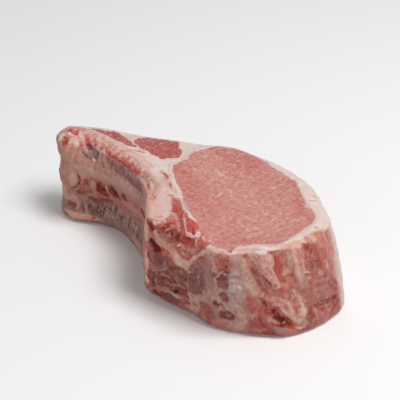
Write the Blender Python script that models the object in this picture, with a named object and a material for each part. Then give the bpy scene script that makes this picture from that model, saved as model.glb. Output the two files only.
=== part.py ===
"""A raw pork rib chop, cut thick and lying on one of its two cut faces.

Two solids make it. The meat is the lean and the fat, which have grown together as one piece. The rib bone
runs through it: a rib that follows the hollow side of the chop, and the sawn block of spine that it springs
from. The bone shows on both cut faces, on the sawn spine side and at the rib's tip.

Sizes are in millimetres. X runs along the chop from the rib's tip to the back fat, Y across it from the
spine side, and Z up from the table. The origin is on the table, under the middle of the chop's box.
"""

import math

import bmesh
import bpy
from mathutils import Vector
from mathutils.geometry import delaunay_2d_cdt

MM = 0.001

THICKNESS = 48.0
RIB_HEIGHT = 13.0
RIB_THICKNESS = 7.5
RIB_LEVEL_AT_TIP = 28.0
RIB_LEVEL_AT_SPINE = 33.0
MEMBRANE = 2.2
BONE_GAP = 0.3

UNDER_EDGE_RADIUS = 2.6
UPPER_EDGE_RADIUS = 1.1
SHOULDER_HEIGHT = 16.0
CHIP_HEIGHT = 10.0

COLUMN_PITCH = 4.0
FRONT_COLUMN_PITCH = 2.2
RIBBED_COLUMN_PITCH = 1.05
ROW_LEVELS = (3.2, 7.0, 11.0, 15.0, 19.0, 23.0, 26.5, 29.5, 32.5, 35.2, 37.8, 40.2, 42.4, 44.3, 45.8, 46.9)
CAP_NET_PITCH = 4.2
BORDER_NET_PITCH = 3.2
UNDER_NET_PITCH = 12.0

RIDGE_PITCH = 4.0
RIDGE_DEPTH = 0.8
RIB_SWELL = 2.6

# The chop's outline, anticlockwise from above. Each station gives its place on the upper cut face and on
# the underside, how far the side turns in by a rounded shoulder (0 is a straight side, 1 a full shoulder),
# how far the side swells at mid height, how far the upper edge stands above the cut face, and how much of
# that edge has been chipped away.
STATIONS = (
    ("spine corner", (2.6, -41.6), (-2.8, -35.4), 0.0, 0.8, -0.6, 2.6),
    ("sawn spine", (14.5, -42.8), (11.4, -38.6), 0.0, 1.2, -0.8, 6.0),
    ("deep muscle", (28.5, -42.6), (25.5, -39.2), 0.0, 1.6, -0.4, 4.6),
    ("near corner of the eye", (41.0, -43.6), (40.0, -41.2), 0.0, 1.0, 0.6, 0.4),
    ("spine side, first third", (50.5, -40.3), (53.0, -39.0), 0.0, 0.6, 1.0, 0.0),
    ("spine side, half way", (59.0, -32.2), (65.0, -35.2), 0.0, 0.6, 1.2, 0.0),
    ("spine side, last third", (68.0, -24.8), (75.5, -28.6), 0.0, 0.6, 1.2, 0.0),
    ("spine side, end", (74.4, -16.2), (83.0, -19.0), 0.0, 0.8, 0.8, 0.0),
    ("back fat corner", (77.2, -4.6), (87.0, -6.8), 0.0, 1.8, 0.4, 0.0),
    ("back fat, start", (76.2, 8.1), (88.0, 7.8), 0.0, 1.8, 0.3, 0.0),
    ("back fat, first third", (67.2, 19.6), (78.0, 22.4), 0.0, 1.4, 0.2, 0.0),
    ("back fat, half way", (55.6, 30.6), (63.0, 34.0), 0.0, 1.4, 0.2, 0.0),
    ("back fat, last third", (43.8, 36.8), (47.5, 40.2), 0.0, 1.2, 0.2, 0.0),
    ("back fat over the eye", (29.8, 40.2), (30.0, 43.0), 0.0, 1.0, 0.0, 0.0),
    ("far edge of the eye", (16.0, 42.6), (14.0, 44.8), 0.0, 1.0, 0.0, 0.0),
    ("far corner of the eye", (2.4, 43.4), (-1.0, 45.0), 0.0, 1.0, 0.0, 0.0),
    ("cap muscle, start", (-9.6, 38.8), (-14.0, 40.0), 0.0, 1.0, 0.0, 0.0),
    ("cap muscle, end", (-22.4, 34.4), (-27.0, 35.4), 0.0, 1.0, 0.0, 0.0),
    ("flank, start", (-38.4, 29.6), (-42.0, 31.0), 0.0, 1.0, 0.0, 0.0),
    ("flank, half way", (-55.4, 25.4), (-57.0, 26.6), 0.0, 0.8, 0.0, 0.0),
    ("flank, end", (-71.4, 20.6), (-72.0, 21.2), 0.0, 0.6, 0.0, 0.0),
    ("tip, far corner", (-84.2, 15.6), (-83.6, 15.0), 0.3, 0.2, 0.0, 0.0),
    ("tip", (-86.6, 10.6), (-87.0, 5.0), 1.0, -0.8, 0.0, 0.0),
    ("tip, near corner", (-80.6, 8.6), (-82.0, -4.4), 1.0, -0.8, 0.0, 0.0),
    ("hollow side, start", (-71.0, 9.4), (-72.5, -5.6), 1.0, 0.0, 0.0, 0.0),
    ("hollow side, first third", (-58.0, 7.6), (-60.0, -2.2), 1.0, 0.0, 0.0, 0.0),
    ("hollow side, half way", (-44.0, 3.4), (-46.0, -1.8), 1.0, 0.0, 0.0, 0.0),
    ("hollow side, last third", (-31.5, -1.8), (-32.5, -7.2), 1.0, 0.0, 0.0, 0.0),
    ("hollow side, end", (-21.5, -9.0), (-20.5, -14.6), 1.0, -1.6, 0.0, 0.0),
    ("spine neck", (-13.4, -18.6), (-12.6, -22.6), 0.6, -2.0, 0.0, 0.0),
    ("spine cheek", (-5.5, -31.2), (-7.0, -30.0), 0.2, 0.6, 0.0, 1.0),
)
RIBBED_START, RIBBED_END = 22.6, 29.4
FRONT_END = 9.0

# Forms that stand out of the side or sink into it. Each gives its place, as a position along the stations
# and a height, its half length, its half width, the angle of its length above the level, and how far it
# stands out.
SIDE_FORMS = (
    ("pit of clotted blood", 0.58, 37.5, 3.0, 4.2, 0, -3.0),
    ("marrow pit", 0.30, 45.0, 2.2, 1.8, 0, -1.2),
    ("second marrow pit", 1.20, 44.5, 2.6, 1.8, 0, -1.0),
    ("knob under the pit", 0.74, 29.0, 3.4, 3.4, 0, 1.2),
    ("hard rim of the spine bone", 1.60, 37.5, 4.6, 3.4, 20, 1.2),
    ("netted muscle", 1.20, 18.5, 8.0, 7.0, 0, -1.0),
    ("notch under the corner", 0.54, 4.0, 3.0, 3.0, 0, -1.2),
    ("loose shred", 1.49, 11.0, 3.4, 1.6, -15, 1.2),
    ("deep muscle hollow", 2.44, 28.5, 9.0, 4.0, 90, -0.9),
    ("upper dent", 3.60, 34.0, 2.4, 2.4, 0, -1.2),
    ("middle dent", 3.60, 23.0, 2.4, 2.6, 0, -1.2),
    ("lower dent", 3.66, 11.0, 3.0, 3.0, 0, -1.2),
    ("silver skin", 3.98, 27.0, 16.0, 2.8, 88, 1.4),
    ("groove beside the silver skin", 4.24, 35.0, 7.0, 1.8, 88, -0.8),
    ("cream ridge", 4.50, 20.0, 15.0, 3.6, 95, 1.5),
    ("loose flap", 5.34, 38.5, 9.5, 3.4, -72, 2.4),
    ("hollow right of the flap", 6.02, 37.0, 8.0, 2.6, 90, -1.5),
    ("hollow left of the flap", 4.96, 31.5, 5.0, 3.0, -60, -1.3),
    ("first tendon", 6.63, 36.0, 12.0, 1.8, 90, 1.0),
    ("second tendon", 7.01, 39.0, 9.0, 1.8, 90, 1.0),
    ("recess under the lip", 7.40, 42.4, 4.6, 2.6, -12, -3.2),
    ("rounded muscle", 7.78, 31.0, 8.0, 5.0, 90, 1.4),
    ("crease", 7.90, 13.2, 9.5, 1.8, -8, -2.2),
    ("seam", 7.00, 10.0, 5.0, 1.8, 90, -0.9),
    ("torn hollow", 5.82, 11.0, 8.0, 3.4, -24, -3.6),
    ("curl", 5.87, 27.5, 3.4, 2.0, -10, 1.3),
    ("pale fat", 6.45, 16.5, 4.0, 2.8, 90, 1.2),
    ("fold under the hollow", 5.80, 4.0, 6.0, 1.8, -8, 0.9),
    ("knob on the tip", 22.55, 44.5, 5.4, 4.6, 0, 4.2),
    ("second knob", 23.60, 42.0, 2.8, 2.8, 0, 1.6),
    ("groove under the knobs", 23.05, 36.5, 6.0, 2.2, 0, -1.6),
    ("flat end of the rib", 22.60, 29.0, 6.0, 5.0, 0, -0.5),
    ("first lump on the rib", 24.11, 26.0, 3.0, 3.4, 0, 1.8),
    ("second lump on the rib", 24.90, 26.0, 2.4, 3.2, 0, 1.2),
    ("groove between the lumps", 24.44, 24.5, 1.2, 4.0, 0, -1.5),
    ("first torn pocket", 25.40, 27.0, 1.6, 3.4, 0, -1.8),
    ("second torn pocket", 26.05, 26.0, 1.8, 3.6, 0, -1.8),
    ("rounded foot", 24.20, 6.5, 10.0, 4.4, 0, 1.4),
    ("first dark gap", 24.62, 44.0, 1.5, 3.4, 0, -1.3),
    ("second dark gap", 24.95, 40.5, 1.5, 3.4, 0, -1.3),
    ("end of the rib's swell", 29.15, 33.0, 1.8, 6.0, 0, -1.6),
)

# The loin eye's border on the upper cut face, the height of the lip of fat round it, and how far it sinks.
EYE_LIP, EYE_DISH = 1.0, 1.5
EYE_BORDER = (
    (-12.0, -6.0),
    (-15.0, 1.5),
    (-14.0, 12.0),
    (-11.5, 26.0),
    (-4.0, 36.0),
    (8.0, 38.6),
    (22.0, 36.2),
    (36.0, 31.6),
    (48.0, 26.6),
    (57.0, 19.0),
    (63.5, 11.5),
    (70.0, 6.0),
    (71.6, -3.5),
    (70.6, -11.0),
    (65.5, -20.5),
    (57.0, -29.0),
    (49.0, -36.5),
    (39.0, -40.4),
    (28.0, -34.5),
    (16.0, -25.0),
    (3.8, -17.0),
    (-5.5, -12.2),
)
CAP_MUSCLE_BORDER = ((-37.5, 24.0), (-33.0, 30.0), (-22.0, 31.6), (-16.5, 26.0), (-15.5, 17.5), (-22.0, 14.5), (-30.0, 18.5))
WEDGE_BORDER = ((-4.5, -7.5), (4.5, -12.5), (16.5, -22.0), (27.0, -31.5), (31.0, -38.0), (21.0, -39.0), (12.0, -31.0), (3.5, -19.0))

# The sawn block of spine, seen from above. Its outer corners stand clear of the chop, whose own faces
# then trim it.
SPINE_BLOCK_LEVEL, SPINE_BLOCK_RISE = 14.6, 0.4
SPINE_BLOCK = (
    (2.2, -52.0),
    (24.0, -52.0),
    (24.0, -44.0),
    (20.5, -38.5),
    (13.0, -29.5),
    (5.0, -19.5),
    (-4.0, -9.0),
    (-13.5, -4.5),
    (-21.5, -4.0),
    (-15.5, -11.5),
    (-7.0, -21.5),
    (-0.2, -32.5),
    (1.6, -42.0),
)
# The rib's line, from outside the tip to the middle of the spine block.
RIB_LINE = (
    (-96.0, -2.0),
    (-82.0, 2.2),
    (-68.0, 5.8),
    (-54.0, 6.8),
    (-41.0, 4.4),
    (-28.0, -2.6),
    (-17.0, -10.5),
    (-6.0, -17.0),
)


def smooth_step(low, high, value):
    share = min(1.0, max(0.0, (value - low) / (high - low)))
    return share * share * (3.0 - 2.0 * share)


def spline_point(points, position, closed):
    """The point at a position along a Catmull-Rom curve, counted in control points."""
    count = len(points)
    start = math.floor(position)
    share = position - start

    def control(index):
        return Vector(points[index % count] if closed else points[min(max(index, 0), count - 1)])

    before, here, after, beyond = (control(start + step) for step in (-1, 0, 1, 2))
    tangent_here = (after - before) * 0.5
    tangent_after = (beyond - here) * 0.5
    share_2, share_3 = share**2, share**3
    return (
        here * (2 * share_3 - 3 * share_2 + 1)
        + tangent_here * (share_3 - 2 * share_2 + share)
        + after * (3 * share_2 - 2 * share_3)
        + tangent_after * (share_3 - share_2)
    )


def even_loop(border, pitch, grow=0.0):
    """Points about one pitch apart along a closed border, moved outwards by grow."""
    fine = [spline_point(border, step / 12, True) for step in range(12 * len(border))]
    lengths = [(fine[i] - fine[i - 1]).length for i in range(len(fine))]
    count = round(sum(lengths) / pitch)
    spacing = sum(lengths) / count
    turn = 1.0 if sum(fine[i - 1].cross(fine[i]) for i in range(len(fine))) > 0 else -1.0
    loop, travelled = [], 0.0
    for i, length in enumerate(lengths):
        travelled += length
        if travelled >= spacing * len(loop) and len(loop) < count:
            along = (fine[(i + 1) % len(fine)] - fine[i - 1]).normalized()
            loop.append(fine[i] + Vector((along.y, -along.x)) * grow * turn)
    return loop


def inside(point, loop):
    crossings = 0
    for i, corner in enumerate(loop):
        last = loop[i - 1]
        if (corner.y > point.y) != (last.y > point.y):
            reach = (last.x - corner.x) * (point.y - corner.y) / (last.y - corner.y) + corner.x
            crossings += point.x < reach
    return crossings % 2 == 1


def distance_to(point, loop):
    """The distance from a closed loop, negative inside it."""
    nearest = min(
        (point - (loop[i - 1] + (corner - loop[i - 1]) * min(
            1.0,
            max(0.0, (point - loop[i - 1]).dot(corner - loop[i - 1]) / (corner - loop[i - 1]).length_squared),
        ))).length
        for i, corner in enumerate(loop)
    )
    return -nearest if inside(point, loop) else nearest


class Column:
    """One upright line of the chop's side, at a position along the stations."""

    def __init__(self, position):
        tops = [station[1] for station in STATIONS]
        unders = [station[2] for station in STATIONS]
        shapes = [station[3:] for station in STATIONS]
        self.position = position
        self.top = spline_point(tops, position, True)
        self.under = spline_point(unders, position, True)
        self.shoulder, self.swell, self.rise, self.chip = spline_point(shapes, position, True)
        step = 0.05
        along = spline_point(unders, position + step, True) - spline_point(unders, position - step, True)
        along += spline_point(tops, position + step, True) - spline_point(tops, position - step, True)
        self.speed = 0.5 * along.length / (2 * step)
        self.outward = Vector((along.y, -along.x)).normalized()
        self.travel = 0.0

    def rib_share(self):
        """1 along the hollow side, and 0 elsewhere."""
        start = smooth_step(RIBBED_START, RIBBED_START + 1.0, self.position)
        return start * (1.0 - smooth_step(RIBBED_END - 0.9, RIBBED_END, self.position))

    def rib_level(self):
        share = smooth_step(RIBBED_START, RIBBED_END, self.position)
        return RIB_LEVEL_AT_TIP + (RIB_LEVEL_AT_SPINE - RIB_LEVEL_AT_TIP) * share

    def relief(self, level):
        """How far the surface stands out of the smooth side at a height."""
        share = self.rib_share()
        from_rib = level - self.rib_level()
        rib = RIB_SWELL * math.exp(-((from_rib / 6.0) ** 2))
        hollow = -1.4 * math.exp(-(((from_rib + 14.0) / 7.0) ** 2))
        above = smooth_step(3.0, 7.0, from_rib) * (1.0 - smooth_step(17.0, 20.0, from_rib))
        below = smooth_step(6.0, 10.0, -from_rib) * (1.0 - smooth_step(20.0, 25.0, -from_rib))
        slant = 0.12 * from_rib * (1.0 if from_rib > 0 else -0.8)
        wave = math.cos(math.tau * (self.travel + slant) / RIDGE_PITCH + 1.3 * math.sin(self.travel / 9.0))
        ripple = 0.25 * math.sin(self.travel / 5.3 + level / 9.0) + 0.2 * math.sin(level / 5.1 - self.travel / 8.7)
        return ripple + self.forms(level) + share * (rib + hollow + RIDGE_DEPTH * wave * (above + 0.8 * below))

    def forms(self, level):
        total = 0.0
        for _, station, height, half_length, half_width, angle, stands_out in SIDE_FORMS:
            stations = (self.position - station + 0.5 * len(STATIONS)) % len(STATIONS) - 0.5 * len(STATIONS)
            if abs(stations) > 3.0:
                continue
            from_form = Vector((stations * self.speed, level - height))
            along = Vector((math.cos(math.radians(angle)), math.sin(math.radians(angle))))
            length, width = from_form.dot(along) / half_length, from_form.cross(along) / half_width
            total += stands_out * math.exp(-(length**2) - width**2)
        return total

    def point(self, level, inset=0.0):
        share = level / THICKNESS
        turned = min(1.0, max(0.0, (level - THICKNESS + SHOULDER_HEIGHT) / SHOULDER_HEIGHT))
        rounded = 1.0 - math.sqrt(1.0 - turned**2)
        place = self.under.lerp(self.top, share + (rounded - share) * min(1.0, max(0.0, self.shoulder)))
        chipped = max(0.0, (level - THICKNESS + CHIP_HEIGHT) / CHIP_HEIGHT)
        depth = (self.top - self.under).length * max(0.0, self.shoulder)
        normal = Vector((SHOULDER_HEIGHT * math.sqrt(1.0 - turned**2), depth * turned + 0.01))
        normal.normalize()
        relief = self.relief(level)
        out = self.swell * math.sin(math.pi * share) - inset - self.chip * chipped + relief * normal.x
        place += self.outward * out
        height = level + self.rise * smooth_step(24.0, THICKNESS, level) + relief * normal.y
        return Vector((place.x, place.y, height))


def columns():
    """The side's upright lines, close together where the hollow side is ridged."""
    found = []
    position, travel = 0.0, 0.0
    while position < len(STATIONS) - 0.02:
        column = Column(position)
        column.travel = travel
        found.append(column)
        ribbed = RIBBED_START < position < RIBBED_END
        front = position < FRONT_END or position > RIBBED_END
        pitch = RIBBED_COLUMN_PITCH if ribbed else FRONT_COLUMN_PITCH if front else COLUMN_PITCH
        position += pitch / column.speed
        travel += pitch
    return found


def side_rings(side):
    """The rings of points from the underside's edge up to the upper cut face's edge."""
    levels = [(0.0, UNDER_EDGE_RADIUS), (0.8, 0.9)]
    levels += [(level, 0.0) for level in ROW_LEVELS]
    levels += [(THICKNESS - 0.4, 0.3), (THICKNESS, UPPER_EDGE_RADIUS)]
    return [[column.point(level, inset) for column in side] for level, inset in levels]


def cut_face_height(point, eye, cap, wedge, block):
    """The upper cut face: the muscles sink a little inside their borders, and the bone stands proud."""
    height = THICKNESS
    from_eye = distance_to(point, eye)
    height += EYE_LIP * math.exp(-(((from_eye - 1.0) / 2.2) ** 2)) * smooth_step(-8.0, 24.0, point.x - point.y)
    height -= EYE_DISH * smooth_step(0.0, 16.0, -from_eye)
    height -= 0.7 * smooth_step(0.0, 3.0, -distance_to(point, cap))
    height += 0.8 * smooth_step(0.0, 3.0, -distance_to(point, wedge))
    height += 1.0 * smooth_step(-0.5, 2.0, -distance_to(point, block))
    return height


def cover(mesh, ring, net, height, facing_up):
    """Closes a ring of vertices with a net of triangles, whose inner points rise to a height."""
    rim = [vertex.co.to_2d() for vertex in ring]
    inner = [point for point in net if distance_to(point, rim) < -0.45 * CAP_NET_PITCH]
    flat, _, triangles, sources, _, _ = delaunay_2d_cdt(rim + inner, [], [list(range(len(rim)))], 1, 1e-4)
    made = []
    for point, source in zip(flat, sources):
        if source and min(source) < len(ring):
            made.append(ring[min(source)])
        else:
            made.append(mesh.verts.new((point.x, point.y, height(point))))
    for triangle in triangles:
        corners = [made[index] for index in triangle]
        mesh.faces.new(corners if facing_up else corners[::-1])


def net_points(borders, pitch):
    """An even net over the whole chop, thinned out near borders, which have their own points."""
    points = []
    for border in borders:
        for offset in (-1.7, 0.0, 1.7):
            points += even_loop(border, BORDER_NET_PITCH, offset)
    kept = []
    for point in points:
        if all((point - other).length > 0.45 * BORDER_NET_PITCH for other in kept):
            kept.append(point)
    row_pitch = pitch * math.sqrt(0.75)
    rows, steps = math.ceil(50.0 / row_pitch), math.ceil(95.0 / pitch)
    for row in range(-rows, rows + 1):
        for step in range(-steps, steps + 1):
            point = Vector(((step + 0.5 * (row % 2)) * pitch, row * row_pitch))
            if all((point - other).length > 0.7 * pitch for other in kept):
                kept.append(point)
    return kept


def object_from(name, mesh):
    data = bpy.data.meshes.new(name)
    bmesh.ops.recalc_face_normals(mesh, faces=mesh.faces)
    bmesh.ops.triangulate(mesh, faces=mesh.faces)
    mesh.to_mesh(data)
    mesh.free()
    thing = bpy.data.objects.new(name, data)
    bpy.context.scene.collection.objects.link(thing)
    return thing


def whole_chop(name):
    """The chop's outer form, with nothing cut out of it."""
    mesh = bmesh.new()
    rings = [[mesh.verts.new(point) for point in ring] for ring in side_rings(columns())]
    for lower, upper in zip(rings, rings[1:]):
        edges = []
        for ring in (lower, upper):
            for i, vertex in enumerate(ring):
                pair = (ring[i - 1], vertex)
                edges.append(mesh.edges.get(pair) or mesh.edges.new(pair))
        bmesh.ops.bridge_loops(mesh, edges=edges)
    eye = even_loop(EYE_BORDER, 2.0)
    cap = even_loop(CAP_MUSCLE_BORDER, 2.0)
    wedge = even_loop(WEDGE_BORDER, 2.0)
    block = [Vector(corner) for corner in SPINE_BLOCK]
    upper_net = net_points((EYE_BORDER, CAP_MUSCLE_BORDER, WEDGE_BORDER), CAP_NET_PITCH)
    cover(mesh, rings[-1], upper_net, lambda point: cut_face_height(point, eye, cap, wedge, block), True)
    cover(mesh, rings[0], net_points((), UNDER_NET_PITCH), lambda point: 0.0, False)
    return object_from(name, mesh)


def spine_block(grow):
    """The block of spine, standing out of the chop, whose faces trim it."""
    mesh = bmesh.new()
    corners = []
    for point in even_loop(SPINE_BLOCK, 3.0, grow):
        level = SPINE_BLOCK_LEVEL + SPINE_BLOCK_RISE * max(0.0, point.x) - 1.1 * grow
        corners.append(mesh.verts.new((point.x, point.y, level)))
    floor = mesh.faces.new(corners)
    lifted = bmesh.ops.extrude_face_region(mesh, geom=[floor])
    top = [item for item in lifted["geom"] if isinstance(item, bmesh.types.BMVert)]
    for corner in top:
        corner.co.z = THICKNESS + 6.0
    for face in [face for face in mesh.faces if len(face.verts) > 4]:
        bmesh.ops.triangulate(mesh, faces=[face])
    return object_from("spine block", mesh)


def rib_shaft(grow):
    """The rib: an oval bar swept along its line."""
    mesh = bmesh.new()
    sides, steps_between = 14, 3
    last = (len(RIB_LINE) - 1) * steps_between
    rings = []
    for step in range(last + 1):
        position = step / steps_between
        place = spline_point(RIB_LINE, position, False)
        along = spline_point(RIB_LINE, position + 0.05, False) - spline_point(RIB_LINE, position - 0.05, False)
        across = Vector((along.y, -along.x)).normalized()
        share = step / last
        level = RIB_LEVEL_AT_TIP + (RIB_LEVEL_AT_SPINE - RIB_LEVEL_AT_TIP) * share
        ring = []
        for side in range(sides):
            angle = math.tau * side / sides
            out = across * math.cos(angle) * (RIB_THICKNESS / 2 + grow)
            rise = math.sin(angle) * (RIB_HEIGHT / 2 + grow)
            ring.append(mesh.verts.new((place.x + out.x, place.y + out.y, level + rise)))
        rings.append(ring)
    for ring, following in zip(rings, rings[1:]):
        edges = []
        for loop in (ring, following):
            for i, vertex in enumerate(loop):
                pair = (loop[i - 1], vertex)
                edges.append(mesh.edges.get(pair) or mesh.edges.new(pair))
        bmesh.ops.bridge_loops(mesh, edges=edges)
    mesh.faces.new(rings[0])
    mesh.faces.new(rings[-1])
    return object_from("rib shaft", mesh)


def combine(target, operation, other):
    """Applies one Boolean to the target, and removes the other object."""
    cut = target.modifiers.new(operation.lower(), "BOOLEAN")
    cut.operation = operation
    cut.object = other
    graph = bpy.context.evaluated_depsgraph_get()
    data = bpy.data.meshes.new_from_object(target.evaluated_get(graph))
    target.modifiers.clear()
    target.data = data
    bpy.data.objects.remove(other)
    return target


def bone_form(grow):
    return combine(spine_block(grow), "UNION", rib_shaft(grow))


def flesh_material():
    material = bpy.data.materials.new("raw pork")
    material.use_nodes = True
    shader = material.node_tree.nodes["Principled BSDF"]
    shader.inputs["Base Color"].default_value = (0.55, 0.22, 0.19, 1.0)
    shader.inputs["Roughness"].default_value = 0.38
    shader.inputs["Metallic"].default_value = 0.0
    return material


def bone_material():
    material = bpy.data.materials.new("sawn bone")
    material.use_nodes = True
    shader = material.node_tree.nodes["Principled BSDF"]
    shader.inputs["Base Color"].default_value = (0.66, 0.50, 0.43, 1.0)
    shader.inputs["Roughness"].default_value = 0.5
    shader.inputs["Metallic"].default_value = 0.0
    return material


def finish(thing, name, material, centre):
    """Turns millimetres to metres about the chop's centre, and names and colours the piece."""
    thing.name = name
    thing.data.name = name
    for vertex in thing.data.vertices:
        vertex.co = Vector((vertex.co.x - centre.x, vertex.co.y - centre.y, vertex.co.z)) * MM
    thing.data.materials.clear()
    thing.data.materials.append(material)
    thing.data.shade_smooth()
    thing.data.set_sharp_from_angle(angle=math.radians(40))


def main():
    for thing in list(bpy.data.objects):
        bpy.data.objects.remove(thing)
    meat = whole_chop("meat")
    xs = [vertex.co.x for vertex in meat.data.vertices]
    ys = [vertex.co.y for vertex in meat.data.vertices]
    centre = Vector(((min(xs) + max(xs)) / 2, (min(ys) + max(ys)) / 2))
    bone = combine(bone_form(0.0), "INTERSECT", whole_chop("chop"))
    combine(meat, "DIFFERENCE", bone_form(BONE_GAP))
    finish(meat, "meat", flesh_material(), centre)
    finish(bone, "rib_bone", bone_material(), centre)


main()
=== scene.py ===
import math

import bmesh
import bpy
import numpy as np
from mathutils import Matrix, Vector
from mathutils.bvhtree import BVHTree


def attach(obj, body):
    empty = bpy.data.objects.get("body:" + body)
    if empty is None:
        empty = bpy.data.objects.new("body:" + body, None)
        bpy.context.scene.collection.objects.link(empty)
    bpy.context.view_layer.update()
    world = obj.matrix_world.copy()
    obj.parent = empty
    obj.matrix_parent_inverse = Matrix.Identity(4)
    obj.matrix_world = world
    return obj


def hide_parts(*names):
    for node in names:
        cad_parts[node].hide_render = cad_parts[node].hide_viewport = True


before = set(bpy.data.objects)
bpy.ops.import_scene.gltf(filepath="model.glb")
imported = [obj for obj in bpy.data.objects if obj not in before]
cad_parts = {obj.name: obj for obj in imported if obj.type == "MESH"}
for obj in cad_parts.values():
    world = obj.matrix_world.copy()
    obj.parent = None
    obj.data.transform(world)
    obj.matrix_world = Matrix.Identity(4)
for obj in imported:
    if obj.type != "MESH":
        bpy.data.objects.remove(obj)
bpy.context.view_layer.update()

MM = 0.001

# The nets of the meshes, in millimetres: the meat's is halved where the chop's upper and near sides show.
MEAT_NET = 1.2
BONE_NET = 0.75
OUTSIDE_NET = 1.0

# In millimetres: how far the bone swells into the meat, so that no gap shows, how near to the chop's outside
# a point of the meat or the bone is drawn onto it, and how far the bone then stands proud of the meat.
BONE_SWELL = 1.3
MEAT_REACH = 1.6
BONE_REACH = 2.0
BONE_PROUD = 0.08

# An edge with a turn of more than this stays sharp, as the saw left it.
CREASE = math.radians(62)

# How strongly the torn threads of the sides show, and how far the pale ones stand out and the red ones sink, in mm.
THREAD_SHARE = 0.34
PALE_THREAD_LIFT = 0.35
RED_THREAD_LIFT = -0.3

# The strands of the lean run nearly across the chop, turned by this from its length.
STRAND_TURN = math.radians(76)

# The sizes of the patterns in the meat, in millimetres. The fibres of pork are under 0.1 mm thick, but lie in
# strands of about 1 mm, so STRAND is near its real size, and so are MOTTLE and PATCH. The specks of fat, the wet
# grain and the pores between the fibres are 0.1 to 0.3 mm. They are too fine to show in a render where 1 mm takes
# up two dots, so FLECK, GRAIN and PORES are drawn as coarse as they need to show.
STRAND = 1.2
FLECK = 0.9
GRAIN = 1.1
PORES = 0.9
PATCH = 9.0
MOTTLE = 2.6

# The specks of fat in the lean.
FLECK_FAT = "DDB8AC"
# The floor under the chop.
PAPER = "F3F3F3"

# The colours of the tissues, as they look in white light. The darkest, laid in slits, holes, pockets, creases and
# grooves, also hold painted shade there.
TISSUES = {
    "fat": "DBC8C0",
    "pale fat": "D6B3AA",
    "marbling": "CB9D95",
    "strip": "DBA596",
    "roll pink": "CE988D",
    "pale pink": "E8AB97",
    "side fat": "CDBDB2",
    "salmon": "CE8D80",
    "membrane": "CCA5A4",
    "eye lean": "C3837A",
    "pale eye lean": "C68A80",
    "deep eye lean": "BE766E",
    "tan eye lean": "BF756C",
    "vein": "A63D3A",
    "red vein": "CC8A7B",
    "cap lean": "AC5652",
    "wedge lean": "B7524C",
    "wedge red": "A6423C",
    "pink lean": "BA756F",
    "fresh red": "CA4F3B",
    "blood": "BA0A04",
    "torn red": "AC3326",
    # The next two are partly the torn flesh's and the clot's own dark red, partly painted shade in the slits, holes
    # and notches they fill.
    "torn dark": "810B07",
    "clot": "480909",
    "marrow": "801E1A",
    "bone": "985549",
    "bone cream": "C99B8A",
    "orange": "B96A56",
    "brown lean": "AC6255",
    "lean": "AE685B",
    "lean red": "B15344",
    "deep lean": "722824",
    "purple lean": "804741",
    "deep purple": "7B3A36",
    "net lean": "7F3930",
    "septum": "A87467",
    "maroon": "985750",
    "tan": "BD9384",
    "tan grey": "B18A7D",
    "tan light": "D3A798",
    "membrane dark": "96716B",
    "tendon": "C5988A",
    "silver skin": "B18C80",
    "pale membrane": "BAA5A1",
    "purple pink": "AF6A62",
    "flap pink": "CB9A8D",
    "side red": "AE483E",
    "salmon red": "C47C6D",
    "right lean": "AA6359",
    "right lean dark": "954B44",
    "pink grey": "AF8279",
    "rib skin": "B38476",
    # The two pocket tissues are partly the pockets' own deep red and partly painted shade in them.
    "pocket dark and shade": "721F1E",
    "blue lean": "8F615F",
    "pocket red and shade": "941B18",
    # Partly the brown of the creases, partly painted shade in them.
    "crease brown and shade": "83402D",
    # Laid in the grooves of the hollow: partly the flesh's own dark and partly painted shade in the grooves.
    "hollow dark": "5C3230",
    "hollow white": "CBAA9F",
    "blue deep": "866364",
    "foot": "CA9987",
    "hollow purple": "99756E",
    "knob brown": "814137",
    "blue grey": "A1766F",
    "purple brown": "924D43",
    "brown dark": "915045",
    "dark edge": "7A4038",
    # Partly the red of the creases, partly painted shade in them.
    "crease red and shade": "82312C",
    "rib light": "B88F81",
    "rib red": "AF786A",
    "strip grey": "BC9082",
}
# The tissues that are fat, skin or bone, which have no meat fibres to show.
PLAIN_TISSUES = (
    "fat", "pale fat", "strip", "side fat", "membrane", "bone", "bone cream", "septum", "tan light", "tendon",
    "silver skin", "pale membrane", "rib skin", "foot", "clot", "blood", "membrane dark", "marbling",
    "blue grey", "rib light", "rib red", "strip grey",
)

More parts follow.
